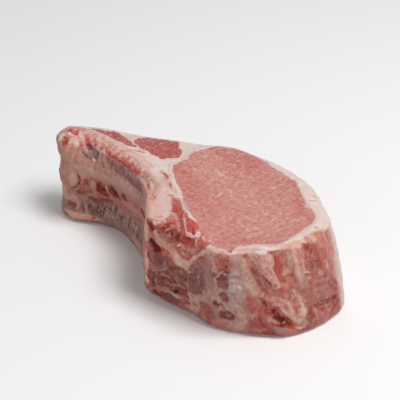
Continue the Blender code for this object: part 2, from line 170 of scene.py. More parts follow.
# The tables below are in millimetres, on the chop's own axes. A region of a cut face has a name, a tissue, how far
# it is lifted, how soft its edge is, and its border as (x, y) seen from above.
REGIONS = (
    ("eye", "eye lean", 0, 0.7,
     ((-15.1, 6.7), (-16.7, 9.1), (-15.6, 12.2), (-14.8, 15.7), (-13.4, 18.3), (-15, 22.7), (-14.3, 27.4),
      (-11.3, 31.6), (-6.3, 38.6), (2.9, 41.9), (11.9, 41.4), (23, 37.2), (36.3, 32.8), (47.8, 28), (54.3, 20.4),
      (58.2, 15), (60.9, 12.6), (65.7, 11), (68.9, 6.6), (69.5, 1), (68.5, -5.2), (67, -13.2), (65.6, -20.4),
      (60.3, -27.2), (54, -30.6), (49.5, -35.9), (48.8, -41), (39.3, -40.1), (33.3, -38.5), (26.9, -33.1),
      (19.1, -25.6), (10.4, -18.7), (2.8, -12.5), (-5.6, -4.1), (-11.8, 2.3))),
    ("cap muscle", "cap lean", -0.3, 0.8,
     ((-48.1, 17.7), (-47.9, 20.7), (-46.4, 23.1), (-43.1, 26.1), (-38.5, 26.9), (-33.1, 28.6), (-29.3, 29.6),
      (-26.9, 29.5), (-25.1, 27.3), (-22, 24.6), (-19.4, 20.7), (-18.7, 17.3), (-20.7, 15.1), (-22.9, 13.5),
      (-23.9, 11.4), (-25.8, 10.7), (-28.2, 11.5), (-30.4, 11.5), (-33.2, 11.8), (-36.3, 13.2), (-38.8, 13),
      (-42.5, 14.5), (-45.9, 15.7))),
    ("sliver of lean", "cap lean", -0.2, 0.8,
     ((-75, 15.4), (-70.4, 17.5), (-64.9, 19.2), (-60, 19.8), (-55, 18.5), (-50.4, 16.7), (-46.4, 14.9), (-42, 12.8),
      (-46.6, 12.3), (-52, 12.5), (-58.1, 13.7), (-62.5, 14.1), (-67.1, 14.8), (-71.3, 15))),
    ("facet", "pale fat", 0, 0.8,
     ((-10, -21.4), (-12.7, -14.8), (-12.7, -10.4), (-13, -6.4), (-9.2, -6.5), (0.2, -17.6), (5.9, -26.3),
      (8.9, -32.6), (8.7, -36.2), (5.6, -36.9), (-0.4, -36.9), (-5.8, -29.6))),
    ("wedge", "wedge lean", 0.2, 0.6,
     ((-1, -15.8), (2, -15.9), (5.8, -17.3), (10, -20.6), (14.9, -24.4), (19.1, -27.3), (23.8, -30.1), (27.6, -35.1),
      (24.3, -37), (21.7, -38.3), (19.3, -38.1), (14.9, -36), (10.9, -35.1), (7.3, -28.5), (3.9, -22.6))),
)

# A stroke has a name, a tissue, its lift and softness, and points along it as (x, y, z, half width). Later ones
# lie over earlier ones. First the upper cut face.
FACE_STROKES = (
    ("shaded back of the eye", "deep eye lean", 0, 9,
     ((-1.7, 33.3, 47.8, 5.3), (7.9, 35.8, 47.9, 4.4), (18.6, 34.4, 48, 5.3))),
    # The left and right margins of the eye, like its back, are partly the lean's own deeper red and partly painted
    # shade.
    ("shaded left of the eye", "deep eye lean", 0, 9,
     ((-11.1, 7.4, 47.8, 4.5), (2.7, -4.2, 46.8, 5.5), (18.8, -17.9, 47.2, 4.8))),
    ("shaded right of the eye", "deep eye lean", 0, 8,
     ((47.7, 21, 47.8, 3.2), (58.9, 9.2, 47.8, 3.1), (66.3, -0.2, 47.7, 2.5))),
    ("short dark vein", "vein", -0.2, 0.6, ((6.1, 30.3, 47.3, 0.3), (9.5, 29.3, 47.2, 0.6), (14.3, 27.9, 47.1, 0.4))),
    ("second dark vein", "deep eye lean", 0, 0.7,
     ((1.9, 33.4, 47.8, 0.3), (5.6, 32.5, 47.6, 0.6), (8.8, 32.3, 47.6, 0.3))),
    ("pale middle of the eye", "pale eye lean", 0, 8,
     ((6.1, 14.1, 46.5, 7.7), (18.4, 10.9, 46.5, 7.4), (32.7, 4.9, 46.5, 6.3))),
    ("flesh under the veins", "deep eye lean", 0, 4,
     ((4.2, 29.8, 47.3, 1.6), (12, 29.2, 47.2, 2.3), (19.7, 26.4, 47.1, 1.4))),
    ("long streak in the eye", "marbling", 0, 1.2,
     ((45, -21.1, 46.6, 0.4), (47.7, -14.3, 46.5, 0.7), (50.8, -6.2, 46.5, 0.7), (53.7, 2.5, 46.7, 0.6),
      (58, 8.8, 47.6, 0.4))),
    ("streak towards the notch", "marbling", 0, 1.2,
     ((46.4, 11.3, 46.7, 0.4), (47.1, 18, 47.4, 0.6), (46.1, 23.9, 48, 0.3))),
    ("second streak towards the notch", "marbling", 0, 1.4,
     ((43.3, 6.5, 46.5, 0.3), (45.5, 12.7, 46.8, 0.6), (50.6, 15.8, 47.5, 0.3))),
    ("streak by the low edge", "marbling", 0, 1.2,
     ((44.1, -27, 46.9, 0.4), (49.2, -22.5, 46.9, 0.8), (53.5, -14.7, 46.6, 0.4))),
    ("streak in the low right", "marbling", 0, 1.2,
     ((58.3, -3.7, 46.7, 0.3), (61.1, 1.3, 47.2, 0.7), (63.9, 5.1, 47.8, 0.4))),
    ("pale notch of the eye", "pale fat", 0.1, 0.9,
     ((58.1, 14.5, 48.3, 0.5), (61.4, 12.6, 48.8, 0.8), (64.6, 12, 48.9, 0.7))),
    ("streak in the eye", "pale eye lean", 0, 1.4,
     ((39.3, -24.7, 46.5, 0.6), (44.5, -18.4, 46.5, 1), (49.2, -11.3, 46.5, 0.6))),
    ("second streak in the eye", "pale eye lean", 0, 1.4,
     ((38.5, -14.2, 46.5, 0.5), (43.3, -5, 46.5, 0.8), (49.8, 5.3, 46.6, 0.5))),
    ("third streak in the eye", "pale eye lean", 0, 1.4,
     ((52.2, -20, 46.9, 0.6), (57.2, -11.4, 46.7, 0.9), (61.9, -0.1, 47.2, 0.5))),
    ("fleck cluster", "pale fat", 0, 0.9, ((5.2, 18.1, 46.5, 0.6), (7.8, 16.8, 46.5, 1), (9.5, 16.8, 46.5, 0.5))),
    ("light fleck", "pale fat", 0, 0.8, ((16.6, -1.9, 46.5, 0.4), (17.1, 0.6, 46.5, 0.7), (17.2, 3.5, 46.5, 0.4))),
    ("tan end of the eye", "tan eye lean", 0, 5,
     ((41.2, -35, 47.6, 2.5), (46.2, -30.4, 47.4, 3), (52.3, -25.7, 47.5, 2.5))),
    ("band between eye and wedge", "fat", 0.5, 0.6,
     ((-18.7, 10.2, 48, 0.8), (-14.7, 4.6, 48, 0.7), (-10.2, -0.9, 47.7, 0.9), (-5.6, -5.5, 47.5, 1.1),
      (-1.2, -9.3, 47.6, 1.2), (4.1, -14.6, 48.3, 1.3), (9.3, -19.6, 48.8, 1.4), (14.6, -24, 49.1, 1.6),
      (18.8, -26.9, 48.8, 1.3), (22.6, -28.3, 48.1, 0.6))),
    ("pink skin on the band", "marbling", 0.1, 0.8,
     ((4.8, -15.6, 48.5, 0.6), (10.1, -19.9, 48.7, 1.1), (15.1, -23.9, 48.9, 1.1), (19.5, -26.5, 48.3, 0.7))),
    ("thin band over the wedge", "pale fat", 0.3, 0.5,
     ((-3.7, -13.3, 49.2, 1), (-1.7, -13.1, 48.3, 1.1), (1.7, -14.5, 48.5, 0.8))),
    ("pink corner", "salmon", 0, 0.5, ((-3.2, -11.7, 48.5, 0.6), (-1.6, -11.9, 48.1, 1))),
    ("slit beside the facet", "vein", -0.6, 0.5,
     ((-9.7, -4.2, 47.8, 0.5), (-7.1, -7.2, 47.9, 0.5), (-4.1, -10.4, 48.3, 0.8))),
    ("salmon streak over the facet", "salmon", 0, 1,
     ((-19.2, 1.7, 48, 0.9), (-15.3, -0.3, 48, 1.3), (-11.3, -3, 47.9, 0.7))),
    ("clear membrane", "membrane", 0, 1.4, ((-14, -4, 48, 1.6), (-10.8, -6, 47.8, 2.2))),
    ("clear membrane on the roll", "membrane", 0, 2, ((-34.1, 4.8, 48, 1.4), (-25.6, 1, 48, 1.6))),
    ("pink flank of the facet", "strip", 0, 2.2,
     ((-17.9, -13.7, 48.3, 1.2), (-12.1, -18.8, 48.3, 1.5), (-7.4, -24.2, 48.2, 1.4), (-4.4, -30.3, 48.1, 1.1))),
    ("far red nodule", "pink lean", -0.4, 0.8,
     ((-26.2, -4.1, 47.7, 0.6), (-23.4, -6.4, 48.3, 1), (-22.9, -7.7, 47.5, 1.3))),
    ("ridge over the far nodule", "pale fat", 0.4, 0.7,
     ((-27.4, -4.6, 48.2, 1), (-27.4, -1.1, 47.5, 1.2), (-23.6, -2.3, 48, 0.8), (-20.4, -5.2, 47.9, 0.5),
      (-19.1, -9.6, 48, 1.2), (-20.3, -11.5, 47.7, 0.4))),
    ("pink in the ridge", "salmon red", -0.2, 0.8, ((-22.3, -4.7, 48, 0.5), (-20, -8.8, 48.8, 0.6))),
    ("middle red nodule", "wedge lean", -0.4, 0.8, ((-17.4, -13.5, 48, 0.6), (-14.8, -15.8, 48.4, 1))),
    ("ridge by the middle nodule", "pale fat", 0.4, 0.7,
     ((-17.1, -11.5, 48.8, 1), (-14.2, -13.6, 48.5, 1.2), (-11.5, -17, 48.4, 0.5), (-10.9, -19.7, 48.1, 0.5))),
    ("cream left of the nodules", "pale fat", 0.2, 1.2,
     ((-23.2, -9.2, 47.2, 0.6), (-20.4, -12.1, 47.4, 0.7), (-16.2, -16.9, 48.2, 1.2))),
    ("near red nodule", "torn red", -0.4, 0.7, ((-8, -22.9, 48.3, 1.1), (-7.3, -22, 48.5, 1.3))),
    ("second slit beside the facet", "wedge red", -0.4, 0.7,
     ((-19.5, 3.1, 48, 0.4), (-15.3, 0.2, 48, 0.7), (-11.4, -2.7, 47.9, 0.6))),
    ("crest beside the slit", "membrane", 0.4, 0.9,
     ((-13.3, -4.2, 48, 0.5), (-9.8, -7.1, 48.2, 0.9), (-5.5, -12.3, 49.1, 0.6))),
    ("pink by the nodule", "salmon", 0, 1.4,
     ((-13, -17.1, 48.2, 1.6), (-9.8, -19, 48.1, 1.3), (-4.8, -27, 48.4, 0.9))),
    ("saw streak", "fat", 0.15, 0.5, ((-4.9, -19.9, 49.1, 0.3), (-6, -15.6, 49.4, 0.5), (-7.4, -10.1, 48.8, 0.3))),
    ("second saw streak", "fat", 0.15, 0.5,
     ((-3.7, -27.8, 46.2, 0.5), (-3, -22.7, 49, 0.5), (-3.1, -16.4, 49.6, 0.3))),
    ("third saw streak", "pale fat", -0.15, 0.5,
     ((1.3, -32.4, 49, 0.3), (-0.2, -24.1, 49.1, 0.4), (-0.2, -18.8, 49.7, 0.3))),
    ("warm end of the facet", "salmon", 0, 1.4, ((2.9, -35.6, 48.5, 0.7), (5.3, -33.8, 48.9, 1))),
    ("wedge, pale top", "salmon", 0, 1.4, ((0.3, -17, 49.4, 1.5), (3.6, -17.4, 49.1, 1.4))),
    ("wedge, red heart", "wedge red", 0, 1.4,
     ((5, -22.9, 49.1, 1), (10.3, -26.4, 48.9, 1.2), (16.2, -32.6, 48.8, 1.4), (19.7, -37, 47.4, 0.7))),
    ("wedge, pink corner", "pink lean", 0, 1.2,
     ((8, -30.1, 49, 0.7), (10, -32.9, 49, 0.9), (10.9, -35.1, 48.3, 0.6))),
    ("wedge line", "pale fat", 0.3, 0.5,
     ((7.7, -28.2, 49, 0.5), (11.9, -31.5, 48.9, 0.5), (15.5, -34.2, 48.3, 0.4), (17.7, -37.1, 47.3, 0.4),
      (17.8, -38, 46.7, 0.3))),
    ("second wedge line", "pale fat", 0.3, 0.5,
     ((13.2, -25.9, 49.7, 0.2), (17, -30.9, 49.3, 0.5), (19.9, -34.7, 48.5, 0.4), (22.6, -36.8, 47.6, 0.5),
      (24.9, -37.1, 47.5, 0.5))),
    ("red strip of the wedge", "wedge red", 0, 0.8,
     ((16.5, -27.8, 49.7, 0.5), (20.9, -32.6, 49.4, 0.6), (23.3, -35.5, 48.5, 0.5))),
    ("bright red roll", "fresh red", 0.8, 0.8,
     ((23.3, -30.5, 48.7, 1.1), (25.5, -33.9, 49.4, 1), (26.3, -35.6, 48.6, 0.8))),
    ("slit in the roll", "blood", -0.7, 0.5,
     ((24.1, -34.6, 49.2, 0.4), (25.1, -35.9, 48.3, 0.5), (26.1, -36.8, 47.7, 0.5))),
    ("curl of fat", "fat", 0.7, 0.6,
     ((27.2, -34.8, 49.1, 0.4), (28.6, -36, 48, 0.5), (28.9, -37.9, 47.4, 0.7), (27.6, -38, 47.3, 0.4))),
    ("salmon under the roll", "salmon", 0, 0.7, ((23.5, -37.6, 47.2, 0.4), (25.9, -37.6, 47.3, 0.4))),
    ("bead of fat", "fat", 0.6, 0.5, ((31.4, -36.9, 47.8, 1),)),
    ("red beside the curl", "fresh red", 0, 1.2, ((29.3, -35, 48.2, 0.6), (33.2, -40.1, 47.5, 0.9))),
    # Painted shadow: a dark line in the slit where the wedge's lower end stands over the eye.
    ("shadowed slit under the wedge", "torn dark", -0.5, 0.6,
     ((18.7, -36.8, 45.4, 0.4), (22.1, -38.4, 46.5, 0.6), (24.9, -38.7, 46.5, 0.5), (27.8, -38.8, 46.7, 0.4))),
    ("far fat cap", "fat", 0.2, 1,
     ((-14.2, 27.3, 48, 1.3), (-11.6, 37, 47.6, 0.9), (-2, 39.8, 48.1, 0.7), (8, 41.8, 47.7, 0.8),
      (18.5, 40.7, 47.7, 1.3), (32.9, 36.7, 48.3, 1.9), (44.1, 33.6, 48.1, 2.5), (55.1, 24.2, 48.7, 4),
      (63.9, 16.4, 48.5, 4.2), (71.1, 9.2, 48.7, 3.2))),
    ("vein in the fat", "red vein", 0, 0.5, ((58.8, 17.4, 48.9, 0.4), (62.5, 20, 48.3, 0.6))),
    ("second vein in the fat", "red vein", 0, 0.5, ((57.1, 24.8, 48.5, 0.3), (61.2, 21.3, 48.3, 0.4))),
    ("red dot in the lip", "fresh red", 0, 0.5, ((73.5, -1.4, 48.8, 0.6),)),
    ("orange spot on the roll", "salmon red", 0, 0.8, ((-39.1, 11.1, 48, 0.7), (-36.3, 10.8, 48, 0.8))),
    ("cream triangle", "fat", 0.3, 2, ((-30.7, 8.2, 48, 1.8), (-24.4, 6.5, 48, 2.5), (-17.5, 2.9, 48, 2))),
    ("rolled edge", "pale fat", 0.8, 1.2,
     ((-75.8, 13.8, 48, 1.1), (-67.9, 12.4, 47.9, 1.3), (-56.9, 10.2, 48, 1.7), (-45.2, 6.8, 48.6, 2.5),
      (-34.5, 4.6, 48, 2.4), (-25, -0.9, 48, 1.7))),
    ("warm streak on the roll", "salmon", 0, 1,
     ((-53.5, 3.7, 47.9, 0.6), (-45.1, 4.8, 48.6, 0.7), (-40.9, 9.9, 48, 0.8), (-35.8, 10.9, 48, 0.6))),
)
# The sawn end at the spine, with the marrow, the knob and the netted muscle.
SPINE_STROKES = (
    ("spine end", "brown lean", 0, 3,
     ((3.2, -40.3, 44.8, 3.5), (10.9, -40.5, 43.2, 6.8), (7.9, -42.6, 27.5, 8.1), (8.7, -40.9, 12.4, 10),
      (20.2, -41.8, 16, 5.9), (30.5, -41.3, 43.1, 5.8), (33.1, -43.5, 20.2, 6.4))),
    ("pink edge", "pale pink", 0.2, 0.7,
     ((1.5, -41.4, 32.7, 1.8), (0.9, -40.6, 27.1, 1.7), (0.3, -39.9, 17.7, 1.8), (-0.7, -38.6, 7.5, 1.7))),
    ("marrow", "marrow", -0.5, 0.9,
     ((3.7, -40.2, 45.5, 1.7), (8.7, -39.8, 46, 2.7), (13, -39.2, 45.5, 3.4), (16.5, -39.2, 43.9, 2.9))),
    ("marrow, brown", "maroon", 0, 0.9,
     ((9.7, -40.4, 43.8, 1.7), (13.4, -40.8, 42.5, 1.5), (16.9, -40.7, 42.2, 1.3))),
    ("salmon strip", "strip", 0.6, 0.7,
     ((-10.8, -21.5, 47.9, 1.2), (-7.7, -26.7, 47.8, 2.3), (-5.4, -30.3, 47.7, 2.4), (-3.7, -32.9, 47.4, 2.5),
      (-1.7, -35.9, 46.9, 2.4), (-0.1, -38.2, 45.9, 2.4), (0, -38.7, 43.8, 2.2), (0.5, -39.7, 42.2, 2.3),
      (2.2, -41.5, 39.1, 1.6), (2.5, -41.8, 35.8, 1.1))),
    ("marrow, red top", "torn red", 0, 0.7,
     ((2.2, -38.9, 47.4, 0.8), (5.4, -39.2, 47.2, 0.5), (9.2, -37.9, 47.5, 0.9), (12.3, -35.5, 48.1, 1.3),
      (15.7, -36.2, 47.8, 0.8))),
    ("marrow, pink top", "wedge lean", 0, 0.8,
     ((10.1, -34.9, 48.4, 0.9), (10.2, -32.4, 49, 1.3), (14, -35.4, 48.4, 0.8))),
    # Painted shade in the holes of the marrow.
    ("marrow, dark hole", "torn dark", -0.5, 0.5, ((13.7, -37.9, 47, 0.8), (15.4, -37.9, 46.9, 0.9))),
    ("marrow, second hole", "torn dark", -0.5, 0.5, ((17.3, -37.8, 46.9, 0.7), (18.8, -38.7, 46, 0.7))),
    ("marrow, purple", "deep purple", -0.3, 0.6,
     ((17.9, -39.2, 44.5, 1.2), (18.8, -40, 43.2, 1), (16.2, -40.6, 42.3, 0.7))),
    ("brown corner under the facet", "brown dark", -0.3, 0.9,
     ((0.6, -37.7, 47, 1.2), (3, -40, 46.4, 1.8), (3.6, -40.4, 43.8, 1.2))),
    ("brown under the orange rim", "lean", 0, 1.2,
     ((4.4, -38.5, 47.4, 0.8), (6.8, -38.1, 47.5, 1.1), (9.2, -37.9, 47.5, 0.7))),
    ("marrow, dark corner", "torn dark", -0.4, 0.8,
     ((2, -39.5, 46.9, 1.3), (2.8, -40.2, 45.2, 1.1), (4.1, -40.5, 43.5, 0.5))),
    ("flesh under the facet", "side red", 0, 0.9,
     ((5.5, -39.3, 47.1, 0.5), (7.7, -38.3, 47.4, 0.8), (10.8, -37.7, 47.4, 0.5))),
    ("orange rim", "orange", 0.3, 0.5,
     ((1.3, -37.5, 47.8, 0.5), (4.4, -36.9, 48.1, 0.5), (7.7, -36.5, 48, 0.5), (10.2, -36.8, 47.8, 0.3))),
    ("chip of bone", "pale fat", 0.5, 0.5,
     ((3.4, -38.9, 47.6, 0.5), (5.1, -38.7, 47.3, 0.8), (6.6, -37.5, 47.7, 0.5))),
    ("red slope", "side red", 0.3, 0.9, ((20.1, -38.5, 44, 1), (23.7, -39.5, 44.9, 1.7), (27.9, -39.8, 45, 1.8))),
    # Painted shadow under the wedge's lower end, in the next three strokes, over the flesh's own red.
    ("dark flesh under the wedge", "torn red", -0.1, 1.2,
     ((17.5, -38.1, 46.7, 0.8), (20.2, -38.7, 45.7, 1.2), (23.8, -38.8, 46.2, 1))),
    ("deep shade under the wedge", "torn dark", -0.2, 1,
     ((17.6, -39.1, 44.6, 0.8), (18.8, -37, 42.3, 1), (22.8, -40, 44.2, 0.5))),
    ("shade under the slit", "torn dark", -0.3, 0.9,
     ((18.9, -37.1, 44.5, 0.5), (23.4, -39.1, 45.7, 0.7), (26.9, -39.2, 46, 0.4))),
    ("red slope, lower", "lean red", 0.2, 0.9, ((24.3, -41.4, 41.9, 1.2), (27.7, -41.3, 42.3, 1.2))),
    ("pale slope", "wedge lean", 0.3, 0.9,
     ((32, -39.9, 46.9, 1.5), (35.5, -40.2, 47.9, 1.6), (34.9, -41.8, 45.7, 1.8))),
    ("red beside the bead", "lean red", 0, 1.2,
     ((29, -36.4, 47.7, 0.7), (31.5, -38.3, 47.5, 1.1), (29.7, -40, 45.5, 0.7))),
    ("hard bone", "bone", 0.5, 0.5, ((5.8, -39.8, 46.9, 0.9), (6.6, -39.9, 44.7, 1.3), (6.5, -40.6, 42.7, 0.8))),
    ("hard rim", "bone cream", 0.5, 0.8,
     ((5.5, -40, 44.9, 0.8), (7.4, -40.9, 42, 1.2), (10.5, -41.2, 39.2, 2.3), (15.3, -42.8, 39.1, 1.5),
      (20.1, -43.9, 38.5, 1.8), (24.1, -44.6, 37.4, 2.7), (26.5, -43.9, 34.7, 3.1), (27.6, -43.8, 32.9, 1.6))),
    ("cream of the bone", "bone cream", 0.3, 0.9,
     ((18.6, -44.3, 36.2, 2), (22.2, -44.4, 34.7, 3.5), (25.4, -44, 33.3, 2.9), (28.7, -43.7, 36.7, 1.5))),
    ("white of the bone", "pale fat", 0.2, 1,
     ((21.3, -44.8, 37, 0.9), (22.9, -44.6, 35.7, 1.5), (23.5, -43.7, 33.6, 1.1))),
    ("brown at the rim", "brown dark", -0.2, 0.9,
     ((9.4, -41, 36.5, 0.5), (14.7, -43.6, 37.5, 0.8), (17.8, -44.2, 36.7, 0.7))),
    ("tan step of the rim", "tan grey", -0.2, 0.9,
     ((21.3, -43.8, 38.7, 0.4), (23.4, -43.6, 37.4, 0.6), (25.6, -44.2, 36.3, 0.6))),
    ("hard rim, grey", "tan grey", 0, 0.8,
     ((11.7, -41.8, 40, 0.9), (15.7, -42.5, 39.7, 0.8), (19.1, -43.2, 39.1, 0.8))),
    ("cream band", "tan light", 0.4, 0.9,
     ((28.7, -43.7, 37.3, 0.9), (30.7, -42.8, 39.7, 1.1), (32.8, -42.6, 41, 0.7), (35.3, -42.5, 44.2, 1.2),
      (38.7, -43.4, 46.7, 0.9), (41.3, -43.1, 48.5, 2))),
    ("shade over the cream band", "orange", -0.1, 0.9,
     ((28.4, -42.7, 39.8, 0.4), (30.3, -41.8, 41.8, 0.6), (33.1, -41.6, 43.9, 0.4))),
    ("tan on the slope", "tan grey", 0, 1.2,
     ((26.9, -41.8, 41.3, 0.8), (29.2, -41.3, 42.5, 0.9), (31.4, -41.1, 43.9, 0.5))),
    ("white chip", "tendon", 0.5, 0.6,
     ((11.1, -39.8, 44.8, 0.2), (11.9, -39.3, 45.8, 0.3), (13.3, -38.8, 46.2, 0.2))),
    ("second white chip", "fat", 0.5, 0.6, ((12, -39.8, 44.6, 0.3), (13.2, -39.9, 43.9, 0.4))),
    ("third white chip", "tendon", 0.5, 0.6,
     ((16.1, -38.3, 46.5, 0.2), (16.8, -38.7, 45.4, 0.3), (16, -39.6, 43.4, 0.3))),
    ("ring of threads", "tendon", 0.4, 0.6,
     ((11.8, -39.2, 45.9, 0.2), (12.6, -38.2, 46.8, 0.3), (14, -37.5, 47.2, 0.3), (15.5, -38, 46.8, 0.2))),
    ("red by the threads", "torn red", -0.2, 0.7, ((13.3, -39.1, 45.6, 0.5), (14.5, -39.4, 44.7, 0.6))),
    ("flesh where the lines meet", "side red", -0.2, 1, ((16.6, -36.7, 47.5, 0.8), (19, -37.7, 47, 1))),
    ("line on the slope", "tan light", 0.3, 0.5,
     ((30.1, -41, 43.5, 0.3), (31.5, -40.5, 45.5, 0.5), (32.7, -39.4, 47.5, 0.4))),
    ("second line on the slope", "tan light", 0.3, 0.5, ((30.2, -40.4, 44.8, 0.4), (29.6, -39.1, 46.9, 0.5))),
    ("fleck on the slope", "fat", 0.3, 0.5, ((20.9, -41.2, 42.1, 0.5),)),
    ("second fleck on the slope", "fat", 0.3, 0.5, ((28.9, -42, 41.1, 0.5),)),
    ("thin fold on the slope", "tan light", 0.2, 0.5,
     ((22.1, -40.6, 43.1, 0.2), (23.8, -41.4, 41.9, 0.3), (26.3, -41.8, 41.3, 0.2))),
    ("brown ground of the lobe", "brown dark", 0, 0.9,
     ((21.4, -42.5, 40.4, 1.1), (24.2, -43, 39.8, 1.7), (27.2, -43.3, 38.8, 1.6))),
    ("brown lobe", "lean", 0.4, 0.8, ((24.1, -43.2, 39.5, 0.5), (26.1, -43.2, 39.1, 0.9), (27.9, -43.3, 38.5, 0.7))),
    ("red spot", "fresh red", 0, 0.5, ((18.4, -44.2, 35.2, 1), (19.1, -44.2, 34.5, 0.8))),
    ("second red spot", "fresh red", 0, 0.5, ((25.8, -44.2, 37.6, 0.5),)),
    ("reddish rim", "lean red", 0, 0.6, ((18, -43.7, 32.7, 1.4), (19.3, -43.7, 31.4, 1.6), (21.5, -43.8, 31.4, 0.9))),
    # The clot is sunk and nearly black: its own dark red and painted shade in its hollow.
    ("clot", "clot", -1, 0.8, ((4.8, -41.7, 38.8, 1.3), (6.2, -41.3, 36.7, 2), (7.8, -40.9, 34.6, 1.8))),
    ("bright blood over the clot", "blood", 0, 0.5, ((5.1, -41.5, 39.9, 0.5), (6.4, -41.2, 39, 0.7))),
    ("clot, tail", "torn dark", -0.6, 0.6, ((6.8, -41.7, 33.4, 1.1), (7.8, -42.4, 31.6, 1))),
    ("fresh blood", "blood", -0.2, 0.5, ((6.6, -41.4, 34.2, 0.5), (8.9, -41.2, 34.7, 0.7), (12.5, -43, 36.6, 1))),
    ("fresh blood, lower", "fresh red", 0, 0.5,
     ((12.8, -43.1, 35.9, 1.2), (14.2, -43.5, 35.7, 1.6), (15.2, -43.6, 35, 0.8))),
    ("pink beside the clot", "wedge lean", 0.2, 0.5, ((3.4, -42.1, 37.6, 0.8), (3.4, -41.9, 34.4, 0.8))),
    ("knob", "knob brown", 0.8, 0.9, ((5.4, -42.2, 28.9, 3.4), (10.8, -43.4, 29.2, 5.1), (14, -43.1, 29.1, 3.4))),
    ("knob, dark spot", "deep lean", -0.3, 0.6, ((10.7, -43.2, 30.5, 0.8), (12, -43.3, 29.4, 0.9))),
    ("knob, second dark spot", "deep lean", -0.2, 0.6, ((6.3, -42.1, 26.5, 1), (7.4, -42.1, 25.4, 1.3))),
    ("pale band under the knob", "septum", 0.4, 0.5, ((3.1, -40.8, 19.4, 0.7), (8.2, -41.6, 22.3, 0.8))),
    ("pale band under the knob, end", "tendon", 0.4, 0.5,
     ((11.3, -42.1, 23.9, 0.6), (13.9, -42.7, 26.6, 0.8), (16.3, -43.2, 29.1, 0.7))),
    ("netted muscle, ground", "net lean", 0, 0.9,
     ((3.8, -40.7, 15.8, 4.3), (7.7, -41, 15.2, 5.6), (12.7, -41.2, 17.4, 5.8), (18.1, -42.1, 20.2, 7.3),
      (23.6, -43.3, 22.8, 8.8), (25.6, -42.8, 17.7, 6))),
    ("sixth dark of the net", "deep lean", -0.2, 0.8,
     ((9.8, -41.4, 20.1, 1.3), (10.9, -41.2, 17.5, 1.2), (10.1, -41, 14.3, 0.7))),
    ("seventh dark of the net", "deep lean", -0.2, 0.8,
     ((4.6, -40.9, 17.6, 1.2), (5, -40.7, 13.8, 1.2), (3.2, -39.6, 8.6, 0.9))),
    ("eighth dark of the net", "deep lean", -0.2, 0.8, ((14.9, -41.3, 16.8, 0.6), (18.6, -42, 19.4, 0.9))),
    ("dark of the net", "deep lean", -0.2, 0.5, ((17.7, -43.1, 27.2, 1.2), (20.4, -43.6, 29.2, 0.9))),
    ("second dark of the net", "deep lean", -0.2, 0.5, ((19.1, -42.7, 22.9, 1), (22, -43.4, 25.5, 0.9))),
    ("third dark of the net", "deep lean", -0.2, 0.5, ((12.6, -41, 19.3, 1.1), (14.6, -41.4, 18.8, 1.1))),
    ("fourth dark of the net", "deep lean", -0.2, 0.5, ((24.9, -43.7, 25.6, 1.1), (24.1, -43.1, 21.3, 1.1))),
    ("fifth dark of the net", "deep lean", -0.3, 0.5,
     ((17.8, -41.8, 13.1, 0.6), (21.5, -41.9, 15.3, 1.1), (25.6, -42.7, 17.3, 1.2))),
    ("septum", "septum", 0.3, 0.5,
     ((3, -40.7, 18.9, 0.3), (6.6, -41.3, 20.8, 0.6), (7.2, -41.2, 18.5, 0.5), (6, -40.8, 13.3, 0.6),
      (8, -40.8, 11.4, 0.5), (10.5, -40.8, 10.6, 0.5))),
    ("second septum", "septum", 0.3, 0.5,
     ((7.5, -41.4, 21, 0.3), (11.1, -42.2, 24.5, 0.5), (15.7, -43.1, 28.7, 0.4))),
    ("third septum", "septum", 0.3, 0.5,
     ((12.6, -41.2, 16.4, 0.4), (17, -41.5, 16.6, 0.6), (21.5, -42.3, 18.3, 0.7), (27.1, -43.2, 19.9, 0.6))),
    ("fourth septum", "septum", 0.3, 0.5,
     ((20.2, -42, 18, 0.4), (21.6, -42.9, 22.3, 0.3), (24.5, -43.6, 25.4, 0.2), (26.8, -43.9, 28.7, 0.2))),
    ("fifth septum", "septum", 0.3, 0.5,
     ((15.6, -43, 27.8, 0.4), (16.5, -42.6, 24.5, 0.5), (19.9, -43, 24.4, 0.5), (22.1, -43.1, 22.9, 0.5))),
    ("sixth septum", "septum", 0.3, 0.5,
     ((27.8, -43.8, 32.2, 0.4), (27.4, -43.8, 26.5, 0.4), (27.4, -43.4, 20.7, 0.6), (27.8, -42.6, 14.8, 0.7))),
    ("tan grain over the corner", "tan", 0.1, 1.2,
     ((37.7, -43.6, 43.2, 0.5), (41.4, -44.1, 45.7, 1.1), (43.6, -44.1, 44.8, 0.6))),
    ("small wall", "septum", 0.3, 0.6,
     ((8.5, -41.2, 18.8, 0.2), (11.8, -41.6, 21.3, 0.5), (14.3, -41.7, 20.9, 0.5), (16, -41.6, 19, 0.4))),
    ("second small wall", "septum", 0.3, 0.6,
     ((17.7, -43.1, 26.9, 0.3), (20.2, -43.4, 27.2, 0.4), (22.8, -43.7, 29.1, 0.3), (25.2, -43.8, 29.3, 0.3))),
    ("third small wall", "tendon", 0.3, 0.6,
     ((20.2, -41.8, 15.6, 0.3), (23.6, -42.4, 16.8, 0.6), (26.1, -42.6, 16.2, 0.4))),
    ("pale in the net", "brown lean", 0.1, 0.9,
     ((7.2, -40.5, 9.8, 2), (10.4, -40.8, 10.1, 2.2), (13.7, -41.1, 12.2, 1))),
    ("low dark of the net", "net lean", -0.2, 0.6,
     ((17, -41.5, 14.1, 1.2), (20.8, -41.8, 14.6, 2), (24.7, -42.3, 15.4, 2))),
    ("purple muscle", "purple lean", 0, 0.9,
     ((32.6, -43.5, 32.8, 4.1), (33.1, -43.5, 26.9, 4.9), (32.3, -43.5, 21.7, 3.7))),
    ("brown arch", "brown lean", 0.4, 0.9,
     ((31.4, -43.6, 36.5, 1.1), (33.6, -43.4, 39.1, 1.2), (36.7, -43.7, 40.6, 1.2))),
    ("grey over the arch", "membrane dark", 0.2, 0.7,
     ((30.3, -43.6, 33.7, 0.6), (34.5, -43.8, 37.1, 0.7), (38, -44, 40.7, 0.8))),
    ("clear skin", "blue grey", 0.2, 1.4,
